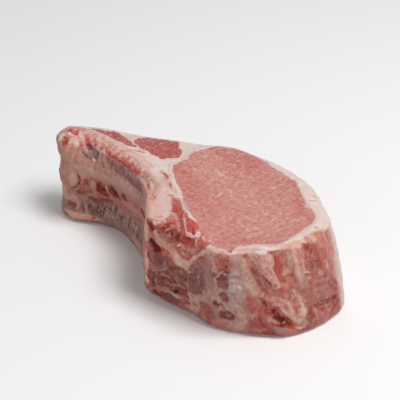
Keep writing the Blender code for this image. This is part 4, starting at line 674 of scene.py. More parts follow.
# The round side on the right, up to the outer fat.
RIGHT_STROKES = (
    ("right of the side", "right lean", 0, 3,
     ((75.4, -19.8, 40.7, 6.1), (80.4, -10.7, 37, 10.9), (81, -16.5, 24.1, 12.6), (78.8, -21.7, 16.8, 5.8),
      (85.2, -8.5, 11.2, 8.2))),
    ("salmon top", "salmon red", 0.2, 3,
     ((74.1, -10.3, 48.5, 3.1), (76.2, -6.2, 48, 4.1), (78.9, -2.6, 43.3, 4.6), (81.1, -0.8, 37.1, 4.3))),
    ("pink on the salmon top", "strip", 0.1, 2.4, ((74.4, -9, 48.4, 1.5), (76.8, -8.2, 47.1, 1.4))),
    ("tan under the lip", "tan light", 0.2, 2,
     ((69.1, -23.8, 48.9, 1.1), (70.8, -21, 49.3, 2.3), (72.4, -18.1, 49, 2.2))),
    ("round muscle", "right lean dark", 0.2, 2.4,
     ((76.8, -14.4, 40.3, 2), (78.5, -11.5, 39.1, 3.8), (80.6, -12, 35.6, 3.5))),
    ("orange red under the lip", "side red", 0, 1.4,
     ((74.4, -15.8, 48.4, 1.1), (75.2, -14.1, 46.5, 1), (75.1, -10.7, 42.9, 0.9))),
    ("fold over the round muscle", "torn red", -0.25, 0.8,
     ((74.4, -16.3, 48.4, 0.3), (74.6, -11.8, 43.5, 0.6), (77, -9.6, 42.1, 0.5), (79.7, -4.3, 40.4, 0.2))),
    ("pink side", "right lean", 0.2, 2, ((81, -4.8, 37.2, 3.3), (82.5, -4, 32.4, 4.5), (83.5, -4.3, 28.2, 4.5))),
    ("pale streak", "tendon", 0.1, 1.5, ((81.1, -6, 36.8, 0.4), (82.6, -5.2, 32.6, 1), (83.3, -4.4, 29.4, 0.6))),
    ("tendon", "tendon", 0.5, 3,
     ((71.1, -21.6, 48.9, 1.7), (73.3, -21.4, 45.6, 2.5), (75.1, -21.1, 40.2, 2.7), (76.5, -21.2, 34.3, 2.5),
      (77.8, -20.9, 28.1, 2))),
    ("tendon, light", "tan light", 0.3, 1.5,
     ((70.5, -21.5, 49.2, 1), (72.9, -22, 44.6, 1), (74.8, -22, 39.5, 1.1), (76.4, -21.9, 33, 0.9))),
    ("tan by the tendon", "tan light", 0.1, 1.6,
     ((70.5, -23.6, 47, 0.8), (71.8, -23.2, 43.2, 1.2), (72.6, -23.4, 39.5, 1.1), (72.9, -23.7, 36.3, 0.6))),
    ("cream by the tendon", "pale fat", 0.2, 1,
     ((71.1, -23.5, 44.3, 0.4), (72.2, -23.4, 40.5, 0.8), (72.8, -23.6, 37.3, 0.4))),
    ("thin salmon line in the tan", "salmon red", -0.1, 0.8,
     ((72.2, -22.3, 45.7, 0.2), (73.3, -22.5, 41.6, 0.3), (74.3, -22.8, 37.4, 0.2))),
    ("lean under the tan", "salmon red", 0, 2.4, ((73.3, -24.2, 33.1, 0.8), (75.8, -23.4, 28.9, 1))),
    ("tendon, light line", "tan light", 0.3, 0.7,
     ((72.6, -17.9, 49, 0.4), (74.7, -18.3, 44.2, 0.7), (76.4, -18.7, 39.9, 0.5), (78, -18.6, 35.7, 0.4))),
    ("tendon, orange line", "salmon red", -0.2, 0.8,
     ((72.2, -20, 49, 0.4), (74.1, -20.3, 44.1, 0.6), (75.8, -20.3, 38.8, 0.5), (77.5, -20.2, 32.3, 0.4))),
    ("tendon, second orange line", "salmon red", -0.2, 0.8,
     ((73.2, -16.6, 49, 0.4), (74.7, -15.8, 43.9, 1.1), (76.9, -17.2, 40.3, 0.6))),
    ("pale fan", "tendon", 0.1, 2.4, ((81.2, -12.3, 33.8, 0.5), (82.2, -11.5, 31.9, 0.9), (82.8, -11.3, 30, 0.5))),
    ("low muscle", "right lean", 0, 2.6, ((79.9, -17, 29.4, 2.5), (82.4, -13.3, 26.3, 3.8), (84.4, -6.3, 22.5, 3.3))),
    ("low muscle, dark", "right lean dark", -0.1, 2.4,
     ((83.8, -7.9, 28.2, 2.1), (84.8, -2.7, 21.6, 2.5), (86, -0.2, 16.7, 1.9))),
    ("low muscle, light streaks", "salmon red", 0.1, 1.8,
     ((81.3, -16, 23.9, 0.3), (83.2, -12.3, 23.1, 0.5), (84.5, -6.4, 22, 0.4))),
    ("low muscle, dark streak", "right lean dark", -0.1, 1.8,
     ((80.8, -16.3, 26.3, 0.5), (82.8, -12.8, 25.5, 1), (84.1, -8.1, 24.8, 0.8))),
    ("low muscle, second light streak", "salmon red", 0.1, 2,
     ((81.7, -14.1, 28.3, 0.3), (83.6, -10.4, 27.3, 0.5), (83.9, -3.8, 25.6, 0.4))),
    ("white speck", "fat", 0.4, 0.5, ((77.8, -19.2, 34.8, 0.4), (78.3, -18.2, 35.2, 0.5), (78.8, -17, 34.2, 0.3))),
    ("second white speck", "tan light", 0.3, 0.5, ((78.9, -18.4, 31.1, 0.4), (79.6, -16.7, 31.2, 0.5))),
    ("pink grey patch", "pink grey", 0.2, 2, ((78.4, -19.4, 30.4, 1.2), (79.1, -19.2, 26.3, 1.5))),
    ("pit in the patch", "purple pink", -0.3, 0.8, ((78.4, -20.8, 24.2, 0.6), (79.6, -19.2, 22.5, 0.8))),
    # The crease and the dark strokes under it are painted shade along the fold, over the lean's own red.
    ("crease", "crease red and shade", -0.4, 1.5,
     ((86.8, 2.8, 11.6, 1.1), (86.3, -1.3, 12, 1.7), (85.2, -6.6, 12.8, 1.9), (83.6, -11.9, 13.3, 1.5),
      (81.6, -16.3, 13.4, 1))),
    ("under the crease", "right lean dark", 0.3, 3,
     ((83.7, -14.7, 9.2, 1.3), (85.3, -10.4, 8.8, 2), (86.6, -4.6, 8.6, 2), (87.3, 0.4, 9, 1.2))),
    ("pink under the crease", "salmon red", 0.1, 1.6,
     ((83.7, -14.2, 10.1, 0.4), (84.9, -11.7, 8.6, 0.7), (86.6, -6.5, 7.6, 0.5))),
    ("light under the crease", "right lean", 0.1, 2.4,
     ((84.5, -13, 8.6, 0.5), (86.1, -7.7, 8.6, 0.8), (87.1, -1.4, 8.8, 0.5))),
    ("dark under the crease", "right lean dark", 0, 2,
     ((83.4, -13.5, 12, 0.7), (85.3, -8.7, 10.4, 1.5), (86.5, -3.4, 9.7, 1))),
    ("streak under the crease", "crease red and shade", -0.1, 0.6,
     ((87.2, 0.2, 9.4, 0.5), (87.2, -3.5, 7.5, 0.7), (86.6, -7.4, 6.8, 0.5))),
    ("salmon ridge over the hollow", "salmon red", 0.3, 2,
     ((66.1, -32.8, 23, 1.4), (69.3, -30.7, 22.4, 2.2), (72.5, -28.5, 19.8, 2.4), (75.5, -26.6, 16.2, 2.2))),
    ("crest over the hollow", "tan light", 0.4, 1.4,
     ((69.7, -30.4, 23.6, 0.5), (72, -28.5, 21.7, 0.6), (74.5, -27, 18.5, 0.8), (76.1, -25.9, 14.2, 0.9))),
    ("second crest", "tan light", 0.4, 1.2,
     ((70.8, -30.1, 18.3, 0.5), (72.7, -28.4, 15.8, 1.1), (73.9, -26.3, 12.2, 1.5), (75.5, -25.1, 10.2, 0.5))),
    ("cream over the torn edge", "pale fat", 0.4, 0.9,
     ((71.3, -29.4, 16.9, 0.4), (72.8, -27.9, 14.3, 0.9), (72.8, -26.3, 10.7, 0.4))),
    ("torn edge", "tan light", 0.4, 0.7, ((70.7, -28.7, 13.3, 0.5), (71.4, -26.8, 11, 0.5), (72.8, -26.6, 9.8, 0.3))),
    ("third crest", "tendon", 0.3, 0.7, ((67.2, -32.6, 20.5, 0.3), (70, -30.7, 19.7, 0.5), (72.3, -28.8, 17.7, 0.4))),
    ("cream of the low middle", "tan light", 0.5, 3,
     ((77, -23.1, 23.7, 0.9), (78.6, -22, 18.8, 1.8), (79, -21.6, 12.5, 2.9), (78.2, -23.2, 7.8, 2.5),
      (76, -24.9, 10.3, 2))),
    ("cream towards the torn edge", "tan light", 0.3, 1.6,
     ((75.3, -26.6, 17, 0.7), (75.4, -26.1, 13.6, 1.5), (76.4, -24.7, 10.3, 1.2))),
    ("white of the low middle", "pale fat", 0.2, 1.4,
     ((78.3, -22.9, 18.6, 0.5), (79.1, -21.2, 13.5, 1.1), (78.6, -22.7, 9.9, 1))),
    ("flesh in the cream", "salmon red", -0.2, 1,
     ((74.5, -26.3, 21.3, 0.3), (76.1, -25.8, 18.6, 0.5), (77, -25.6, 15.5, 0.3))),
    ("red in the cream", "salmon red", -0.1, 1.4, ((77.1, -24.3, 20.5, 0.9), (78, -23.7, 16.8, 1.2))),
    ("orange spot", "salmon red", 0, 0.8, ((78.4, -22.9, 11, 0.7), (79.5, -21.3, 9.9, 0.5))),
    ("curl beside the tendon", "tan light", 0.3, 0.8,
     ((74.1, -25.1, 27.8, 0.2), (75.5, -24.1, 25.8, 0.4), (76.4, -23.9, 23.3, 0.3))),
    ("second curl beside the tendon", "tendon", 0.4, 0.5,
     ((71.9, -27.8, 27.3, 0.3), (73.2, -26.3, 27.2, 0.4), (74.4, -25.4, 25, 0.3))),
    ("fold in the low middle", "lean red", -0.3, 0.7,
     ((77.8, -22.4, 22.4, 0.3), (79.1, -20.8, 18.8, 0.5), (79.8, -19.2, 13.6, 0.5))),
    ("purple red lean", "right lean dark", 0, 1.4,
     ((80.8, -17.4, 13.2, 1), (81.9, -17.5, 9.7, 1.5), (82.3, -18, 6.1, 1.3))),
    ("grey skin by the low cream", "pink grey", 0.1, 1.6,
     ((80, -21, 8.1, 0.8), (80.8, -20.2, 6, 1.5), (80.3, -21.7, 5, 1))),
    ("streak in it", "tendon", 0.1, 1.5, ((81.8, -15.4, 13.9, 0.3), (83.3, -15.2, 10, 0.4), (84.5, -14.2, 5.4, 0.3))),
    ("pale curl", "tan light", 0.5, 0.5, ((77.6, -24.8, 5.3, 0.4), (79.4, -23.5, 4.2, 0.6), (80.6, -21.2, 5.1, 0.5))),
    ("fat side", "side fat", 0.3, 1,
     ((75.7, 6.9, 48.3, 2.6), (78.7, 6, 43.4, 1.9), (80.4, 7.4, 36.1, 2), (82.1, 7.6, 28.7, 2.2),
      (83.8, 7.5, 22, 2.4), (85.7, 7, 14.4, 2.4), (87, 7.5, 6.1, 1.7), (88, 4.8, 2.7, 1.3))),
    ("line beside the fat", "right lean dark", -0.2, 0.7,
     ((84.1, -0.8, 25, 0.6), (85.2, 0.4, 20.3, 0.7), (86.3, 2.1, 15.4, 0.6))),
)
# The lip of the upper face, over the middle and the right side.
LIP_STROKES = (
    ("fade under the lip", "tan light", 0, 3.2,
     ((40.4, -42.6, 48.4, 0.9), (45, -42.9, 48.7, 0.8), (48.2, -42.6, 48, 0.6))),
    ("second fade under the lip", "tan light", 0, 3.2,
     ((51.4, -40.7, 48.4, 0.6), (53.4, -36.8, 49.1, 1.2), (56.6, -33.1, 49.3, 1.3), (59.8, -31.1, 49.9, 0.9))),
    ("third fade under the lip", "strip", 0, 3.2,
     ((65.9, -26.7, 49.1, 0.5), (68.4, -23.6, 49.3, 1.2), (70.8, -18.2, 49.1, 1.8), (72.6, -13.5, 48.7, 1.4))),
    ("lip", "pale fat", 0.3, 1.3,
     ((37.7, -41, 48.1, 0.6), (42, -41.6, 48.6, 0.7), (46.2, -40.8, 48.9, 0.7), (49.1, -42, 48.3, 0.3),
      (50, -41.9, 47.8, 0.3), (50.5, -39.9, 49.3, 0.4), (50, -34.9, 48.3, 1.1), (53.2, -31, 48.1, 1.2),
      (56.1, -28.5, 48.2, 1.3), (59.6, -27, 48.7, 1.3), (63.5, -26.2, 49.2, 1.2), (66.3, -23.6, 49, 1.2),
      (67.3, -19.6, 48.8, 1.2), (68.5, -15.9, 48.7, 1.6))),
    ("lip, right", "fat", 0.4, 2,
     ((66.7, -20.5, 48.9, 0.7), (68.2, -16.5, 48.7, 1.6), (69.8, -12.4, 48.7, 2), (70.8, -8.4, 48.6, 2.5),
      (71.7, -4.2, 48.8, 2.7), (71.9, 1.5, 48.9, 2.3), (71.9, 6.6, 48.8, 1.9))),
    ("white speck in the lip", "fat", 0.3, 0.5, ((67.7, -20.3, 48.9, 0.8), (68.6, -20, 48.9, 0.7))),
    ("red dot in the lip", "fresh red", 0, 0.4, ((73.5, -1.4, 48.8, 0.6),)),
    ("notch in the lip", "torn red", -0.5, 0.5, ((48.9, -39.8, 49.2, 0.4), (49.7, -41.3, 48.8, 0.3))),
)
# The hollow along the rib, from the rib's tip on.
HOLLOW_STROKES = (
    ("hollow side", "rib skin", 0, 4,
     ((-81.2, -0.6, 46.9, 5.2), (-76.1, -6.4, 35.8, 6.6), (-65.7, -3.7, 39.8, 8.6), (-54.8, -2.1, 40.2, 8),
      (-38, -5.5, 37.9, 12.2), (-19.8, -16.6, 38.2, 14.5))),
    ("under the rib", "hollow purple", 0, 2.4,
     ((-77.3, -5.5, 10.7, 6.4), (-66.5, -5.2, 10.5, 6.5), (-55.1, -2.2, 9.7, 7.2), (-40.2, -4.1, 9.8, 7.2),
      (-23.7, -12.5, 10.1, 6.6))),
    ("upper roll", "roll pink", 0.2, 1.4,
     ((-78.8, 10.5, 48.4, 3.4), (-71.3, 11.4, 47.8, 3.2), (-62.7, 10.8, 47.8, 2.9), (-52.2, 7.4, 48, 3.2),
      (-43.6, 6.4, 48.3, 3.2), (-33.4, 2.9, 48, 2.6))),
    ("cream lump", "pale fat", 0.5, 0.8, ((-83.6, -1.4, 47.1, 1.6), (-83.4, 0.6, 48.4, 1.8))),
    ("second cream lump", "tan light", 0.7, 0.8, ((-77.5, 0.2, 46.4, 1.5), (-76.9, 2.7, 47, 2.2))),
    ("third cream lump", "pale fat", 0.4, 0.7, ((-81, 3.7, 48.9, 1.1),)),
    ("fourth cream lump", "tan light", 0.5, 0.8,
     ((-75, 8.3, 47.8, 1), (-74.7, 11.1, 47.9, 1.5), (-72, 11.4, 47.9, 1.1))),
    ("flesh between the lumps", "salmon", -0.2, 0.9,
     ((-76.7, 5.6, 47.7, 1), (-73.3, 3.9, 47.2, 1.4), (-70.1, 1.4, 46.4, 1.5))),
    ("brown flesh between the lumps", "side red", -0.3, 0.8,
     ((-73.7, 2.9, 47.2, 0.4), (-72.4, 2, 45.9, 0.5), (-69.5, 0.3, 45.9, 0.3))),
    ("top of the tip", "salmon", 0, 0.7, ((-85.1, 6.5, 50, 0.8), (-81.5, 8.8, 49.9, 2.2), (-77.6, 12.5, 48.2, 1.6))),
    ("red streak on the tip", "side red", 0, 0.5,
     ((-83, 4.3, 49.5, 0.8), (-82.3, 6, 49.7, 1.1), (-81.4, 7, 49.7, 0.7))),
    ("pink on the tip", "wedge lean", 0, 0.8,
     ((-80.3, 6.1, 49.1, 1.3), (-78.8, 7, 48.5, 1.8), (-78.9, 8.9, 48.8, 0.8))),
    ("left edge of the tip", "pink lean", 0, 0.8, ((-85.8, 2.9, 48.9, 1), (-84.5, 4.8, 49.6, 1.3))),
    ("red pocket", "wedge red", -0.7, 0.7,
     ((-81.5, 0.4, 47.8, 0.9), (-79.8, -0.1, 46.7, 1.4), (-80.3, -1.8, 45.5, 1.3))),
    ("red pocket, dark", "torn dark", -0.3, 0.5, ((-79.7, -0.5, 46.4, 0.6), (-78.4, -1.6, 46, 0.5))),
    ("red over the second pocket", "pink lean", -0.2, 0.9,
     ((-72.9, 8.2, 47.7, 1.4), (-69.1, 5.3, 47.5, 1.7), (-64.1, 4.5, 46.2, 1.3))),
    ("tan mark", "orange", -0.2, 0.5, ((-73.2, 3.1, 47, 0.7), (-72.4, 1.4, 45.6, 0.6))),
    ("tan line", "orange", -0.2, 0.8, ((-77, -2.7, 44.6, 0.5), (-73.8, -1.5, 45.4, 0.7))),
    ("pink under the cream lump", "salmon", -0.1, 0.9,
     ((-75.8, -0.6, 44.9, 0.7), (-73.3, -0.3, 45.6, 0.8), (-71.9, 0.4, 44.4, 0.4))),
    ("skin over the rib end", "rib skin", 0, 1.2,
     ((-76.8, -4.9, 42.3, 2.7), (-72.2, -4, 40.3, 3.5), (-67.3, -3.4, 39.1, 2.9))),
    ("reddish mottle on the rib end", "orange", 0, 1.4, ((-73.5, -4.7, 42.1, 0.6), (-69.9, -4.2, 41.5, 0.6))),
    ("left edge of the rib end", "orange", 0, 0.9, ((-80.2, -4.3, 39, 1.2), (-77.5, -7.7, 34.1, 0.8))),
    ("red band", "roll pink", 0, 1.4,
     ((-68, 7, 47.4, 2.5), (-60.8, 5.5, 47.6, 2.9), (-54.1, 2.8, 47.9, 3.1), (-49.2, 2.3, 46.9, 2.8),
      (-42.8, -0.1, 47.4, 2.8), (-37.1, -0.9, 46.5, 2.6), (-29.4, -4.5, 46.5, 2.3), (-21.4, -11.3, 48.2, 1.9))),
    ("red band, deep", "wedge red", -0.2, 1.5,
     ((-61.5, 3.8, 47.4, 0.9), (-54.6, 1.7, 47.4, 1.1), (-49.6, 1, 45.7, 1.3), (-43.4, -1.1, 46.3, 1.3),
      (-38.4, -1.8, 46.3, 1.2), (-31.8, -4.7, 47.3, 1.8), (-26.3, -7.1, 46.6, 1.1))),
    ("blue band", "blue lean", -0.2, 1.1,
     ((-54.1, 0.8, 45.8, 1.3), (-50.4, -0.8, 43.2, 2.1), (-46.1, -1.3, 42.1, 1.9), (-39.8, -3.7, 42.8, 2.8),
      (-33.5, -5.3, 42.4, 2.8), (-25.8, -9.8, 42.7, 2.8), (-17.5, -17.1, 43.6, 2.4))),
    ("tan under the blue band", "tan grey", 0.1, 0.9,
     ((-58.1, -1.3, 41.8, 1.3), (-53.5, -1.3, 39.5, 1.3), (-46.6, -2.7, 38.9, 1.1))),
    ("light over the blue band", "tan grey", 0.1, 1.2,
     ((-39.4, -3.3, 43.7, 0.5), (-34.4, -4.8, 43.7, 0.8), (-27.8, -8.6, 45, 1))),
    ("dark flesh over the pocket", "wedge lean", -0.4, 0.9,
     ((-71.4, 6.5, 47.4, 1), (-68.5, 4.1, 46.8, 1.5), (-64.8, 3.6, 46.4, 1.1))),
    # The dark and blue pockets are sunk and darkened: painted shade over their own deep red and blue.
    ("dark pocket", "pocket dark and shade", -1.2, 0.8, ((-67.7, 3.4, 46.4, 1.5), (-65.7, 1.6, 45.9, 1.4))),
    ("blue pocket", "blue deep", -0.9, 0.8,
     ((-64.7, 2.5, 44.9, 1.3), (-61.5, 0.3, 44.2, 2), (-60.7, 0.6, 42.4, 1.7))),
    ("blue shade left of the pocket", "blue lean", -0.2, 1,
     ((-66.6, 0.3, 45, 1), (-65.2, 0.1, 43.3, 1), (-62.4, -1, 42.9, 0.6))),
    ("deep shade left of the pocket", "blue deep", -0.2, 1,
     ((-67.5, 0.4, 44.2, 0.7), (-65.3, -0.4, 42.9, 1), (-62.6, -1.4, 42.2, 1))),
    ("red over the blue pocket", "pink lean", -0.2, 0.7, ((-67.5, 7.2, 47.4, 0.9), (-64.4, 4.8, 46.5, 1.2))),
    # The brown fold and the three dark streaks are painted shade in small creases, over the flesh's own brown.
    ("brown fold", "crease brown and shade", -0.4, 0.5,
     ((-69.4, -1, 44.7, 0.4), (-66.6, -1.8, 42.6, 0.6), (-64.3, -1, 40.5, 0.5), (-61.6, -1.5, 40.3, 0.6))),
    ("pale fold", "tan", 0.4, 0.5, ((-68.8, 1.2, 45.6, 0.5), (-65.5, -0.4, 43.6, 0.6), (-62.6, -1.3, 42.5, 1))),
    ("pale fold end", "pale fat", 0.4, 0.5, ((-61.9, -1.1, 42.3, 0.4), (-60.4, 0, 39.9, 0.7))),
    ("dark streak", "crease brown and shade", -0.3, 0.5, ((-60.5, 0.1, 40.2, 0.4), (-57.3, -1.5, 39.6, 0.4))),
    ("second dark streak", "crease brown and shade", -0.3, 0.5, ((-55.2, -1.5, 41.6, 0.7), (-53.7, -1.4, 39.6, 0.5))),
    ("third dark streak", "crease brown and shade", -0.3, 0.5, ((-48.9, -1.3, 40.2, 0.7), (-45.6, -2.3, 38.4, 0.4))),
    ("rib", "rib skin", 0.2, 1.1,
     ((-70.9, -5.9, 36.6, 2.8), (-63.3, -3.7, 35.6, 3.2), (-53.1, -3, 34.9, 3.2), (-42.3, -5.2, 35.5, 2.8),
      (-31.1, -9.8, 37.7, 2.9), (-20.2, -16.1, 39, 4.1), (-14.1, -20.3, 39.9, 2.4))),
    ("rib, light band", "rib light", 0.2, 2.6,
     ((-72, -6.3, 36.5, 1.1), (-64.4, -4, 36.2, 1.6), (-54.2, -3.2, 35.9, 1.9), (-43.8, -4.8, 36.1, 2.1),
      (-31.1, -9.8, 37.7, 1.8), (-22.1, -14.3, 37.9, 2.4))),
    ("rib, reddish band", "rib red", 0, 1.4,
     ((-76.3, -6.1, 36.8, 0.9), (-65.5, -4, 39, 1.1), (-57.4, -2.5, 37.2, 1), (-47.3, -3.5, 37.2, 0.8))),
    ("lump of the rib", "rib light", 0.5, 0.9, ((-71, -9.1, 30.6, 2.2), (-69.4, -9.1, 28, 2.6))),
    ("second lump of the rib", "rib skin", 0.3, 0.8, ((-59.2, -5.2, 29.1, 1.9), (-58.6, -4.5, 26.1, 1.8))),
    ("reddish edge of the rib", "rib red", 0, 2,
     ((-56.5, -4.2, 31.2, 1), (-52.4, -4.3, 30.5, 2.5), (-46.7, -4.8, 30.5, 2.6), (-39, -8.1, 31.6, 2.8),
      (-29.8, -11.8, 33.3, 2.5), (-21.6, -16, 34.7, 3.1), (-15.3, -20.4, 36.5, 1.7))),
    ("red along the rib", "lean red", -0.1, 1.5,
     ((-55.5, -3.8, 29.4, 0.8), (-50.2, -4.6, 29.8, 1.4), (-41.4, -6.8, 28.7, 2.2), (-31.6, -11.2, 31.4, 1.8),
      (-22.7, -15.6, 32.8, 2.2), (-15.6, -20.4, 34.5, 1.5))),
    # The creases in the rib are painted shade, over the flesh's own brown.
    ("crease in the rib", "crease brown and shade", -0.6, 0.5,
     ((-68.5, -6.6, 34.9, 0.3), (-68, -7.1, 32.8, 0.5), (-66.6, -7.2, 30.1, 0.6), (-67.5, -6.9, 26.8, 0.6),
      (-69.4, -7.9, 24.4, 1.2), (-71.4, -9.1, 24.7, 1.1))),
    ("second crease in the rib", "crease brown and shade", -0.5, 0.5,
     ((-63.2, -5.5, 32.1, 0.4), (-63.1, -6.1, 30.1, 0.5), (-61.9, -6.1, 28, 0.7))),
    ("third crease in the rib", "crease brown and shade", -0.4, 0.5,
     ((-64.4, -6.2, 31.4, 0.3), (-63.7, -6.4, 28.8, 0.5), (-64.8, -6, 25.6, 0.5))),
    ("rim between the pockets", "foot", 0.3, 0.5,
     ((-50.2, -4.6, 29.8, 0.8), (-49.8, -4, 27.1, 1.2), (-49.8, -2.3, 23.2, 1))),
    # The three deep pockets and their darker cores are painted shade over the pockets' own red.
    ("first deep pocket", "pocket red and shade", -1, 0.8,
     ((-55.1, -3.2, 28.2, 2.1), (-54.6, -2.1, 24.9, 3.7), (-53.3, -2.1, 23.5, 3.1))),
    ("first deep pocket, dark", "clot", -0.3, 0.5, ((-55.5, -3.1, 27.3, 0.5), (-54.6, -2.1, 24.3, 1.1))),
    ("second deep pocket", "pocket red and shade", -1, 0.8,
     ((-46.8, -4.8, 30.3, 1.8), (-46.6, -3, 26.4, 3.4), (-42.6, -5.6, 27, 3.4))),
    ("second deep pocket, dark", "clot", -0.3, 0.5, ((-47.3, -4.2, 28.4, 0.9), (-46.6, -2.7, 24.9, 0.9))),
    ("third deep pocket", "pocket dark and shade", -0.6, 0.6, ((-36.1, -9.4, 31.5, 1.9), (-34.7, -10, 31.1, 1.8))),
    ("slit by the strip", "torn dark", -0.8, 0.5,
     ((-16.8, -19.3, 36.1, 1.2), (-14.8, -20.8, 35, 1.8), (-14.9, -20.9, 32.5, 1.2))),
    # These strokes darken the flesh under the rib's end and under the pockets: partly its own brown, partly painted
    # shade.
    ("brown under the rib end", "brown dark", -0.3, 0.9,
     ((-72.4, -7.2, 21.6, 1.5), (-68.8, -5.7, 20.7, 1.5), (-65, -4.5, 20.8, 1.8), (-61.7, -4.2, 22.9, 1.4))),
    ("dark under the rib end", "deep purple", -0.5, 0.7, ((-69, -5.6, 19.7, 0.8), (-67.7, -3.9, 18.6, 1))),
    ("brown under the pockets", "dark edge", -0.5, 0.9,
     ((-63, -3, 16.8, 1.2), (-59.7, -2, 16.2, 1.7), (-55.2, -1.6, 16.9, 1.6), (-50.5, -1.4, 18.5, 1))),
    ("pale left foot", "strip grey", 0.3, 1.1,
     ((-79.5, -4.6, 18.6, 2.2), (-79.3, -4.5, 14.7, 2.7), (-76.9, -4.8, 13.8, 1.4), (-72.6, -4.9, 15, 2.5))),
    ("purple mottle", "purple lean", -0.3, 0.9, ((-76, -5.5, 10.5, 1.7), (-72.9, -5.9, 10.5, 1.5))),
    ("second purple mottle", "purple lean", -0.3, 0.9, ((-68.7, -4.9, 11.5, 1.6), (-66.4, -5.5, 9.4, 1.4))),
    ("third purple mottle", "purple lean", -0.3, 0.9,
     ((-63.4, -3.8, 11.5, 1.7), (-60.6, -3.1, 8.9, 2.1), (-57.7, -2.5, 7.6, 1.7))),
    ("pale lump in the low hollow", "strip grey", 0.4, 0.8,
     ((-71.1, -5.2, 13.7, 1.4), (-69.8, -5.7, 11.8, 1), (-70.3, -6.6, 9.9, 0.7))),
    ("second pale lump in the low hollow", "tan grey", 0.3, 0.8,
     ((-65.8, -4.1, 13.4, 0.5), (-65.2, -3.8, 10.9, 0.8), (-65.5, -4.9, 8.7, 0.5))),
    ("blue mottle in the low hollow", "blue deep", -0.2, 1,
     ((-76, -6.6, 7.7, 0.7), (-72.5, -6.6, 8, 0.9), (-68, -6.2, 7.2, 0.8))),
    ("second blue mottle in the low hollow", "blue deep", -0.2, 1,
     ((-63, -4.6, 7.8, 0.7), (-59.2, -3.4, 6.5, 1.2), (-55.1, -2.5, 5.9, 0.8))),
    ("foot", "foot", 0.4, 1.2,
     ((-78.7, -7, 5.6, 2.2), (-73.7, -7.2, 5, 3.1), (-68.8, -6.3, 5, 2.3), (-63.2, -4.6, 5, 2.1),
      (-57.7, -2.8, 4.4, 1.4))),
    ("red spot", "lean red", 0, 0.6, ((-78.2, -6.4, 8.6, 0.9),)),
    ("second red spot", "lean red", 0, 0.7, ((-61.2, -3.6, 5.2, 1.2),)),
    ("third red spot", "lean red", 0, 0.7, ((-68.6, -6.3, 7.3, 0.8),)),
    ("pale end of the hollow", "strip grey", 0.2, 2, ((-29.8, -9.6, 6.6, 2.4), (-23.7, -13.1, 5.9, 2.8))),
)
# The wall between the hollow and the spine is turned away from view: the hollow's own tissues run on round it.
HIDDEN_STROKES = (
    ("low side behind", "hollow purple", 0, 3,
     ((-24, -12.5, 12, 8), (-12, -21, 14, 9), (-8.6, -28, 15, 9), (-5, -35, 15, 6))),
    ("rib behind", "rib skin", 0.2, 2.6,
     ((-14, -20.3, 39.9, 4.5), (-9.5, -25, 40, 5.5), (-6.4, -31, 41, 5), (-3, -36, 41, 3.2))),
    ("light band behind", "rib light", 0.2, 2.6,
     ((-15, -20, 40, 1.8), (-9.8, -25.5, 40.6, 2.2), (-6.2, -31, 41.6, 1.5))),
    ("red band behind", "rib red", 0, 2.4,
     ((-15.3, -20.4, 36.5, 1.6), (-9.4, -25.5, 34, 2.6), (-7, -30, 33, 2.2), (-4.4, -35, 32.6, 1.2))),
    ("red streak behind", "lean red", -0.1, 1.6,
     ((-14.9, -20.4, 33.6, 1), (-9.4, -25.5, 31, 1.4), (-7, -30.4, 30.6, 0.8))),
    ("grey band behind", "tan grey", 0.2, 2.4, ((-17, -18, 24, 2), (-9.8, -25, 25.4, 3), (-7, -31, 26, 1.8))),
    ("foot behind", "foot", 0.3, 1.6,
     ((-26, -12, 2.5, 1.6), (-12, -21, 2.6, 2.2), (-7.4, -30, 2.6, 1.8), (-4.6, -36, 3, 1))),
)

# The two edges of the band of flesh under the rib, where two combs of dashes lie.
UNDER_THE_RIB = (
    ((-60.9, 1.9, 45.5), (-54.5, 0.5, 45.8), (-49, 0.1, 44.1), (-42.4, -1.7, 44), (-35.5, -4.1, 45.5),
     (-27.7, -7.8, 46.5), (-18.9, -14.9, 47.3)),
    ((-58.3, -0.8, 43.3), (-53.2, -0.8, 40.7), (-46.7, -2.5, 39.7), (-39.8, -4.7, 40.1), (-33.5, -6.4, 39.9),
     (-25.8, -10.8, 40.2), (-17.7, -17.7, 41.4)),
)

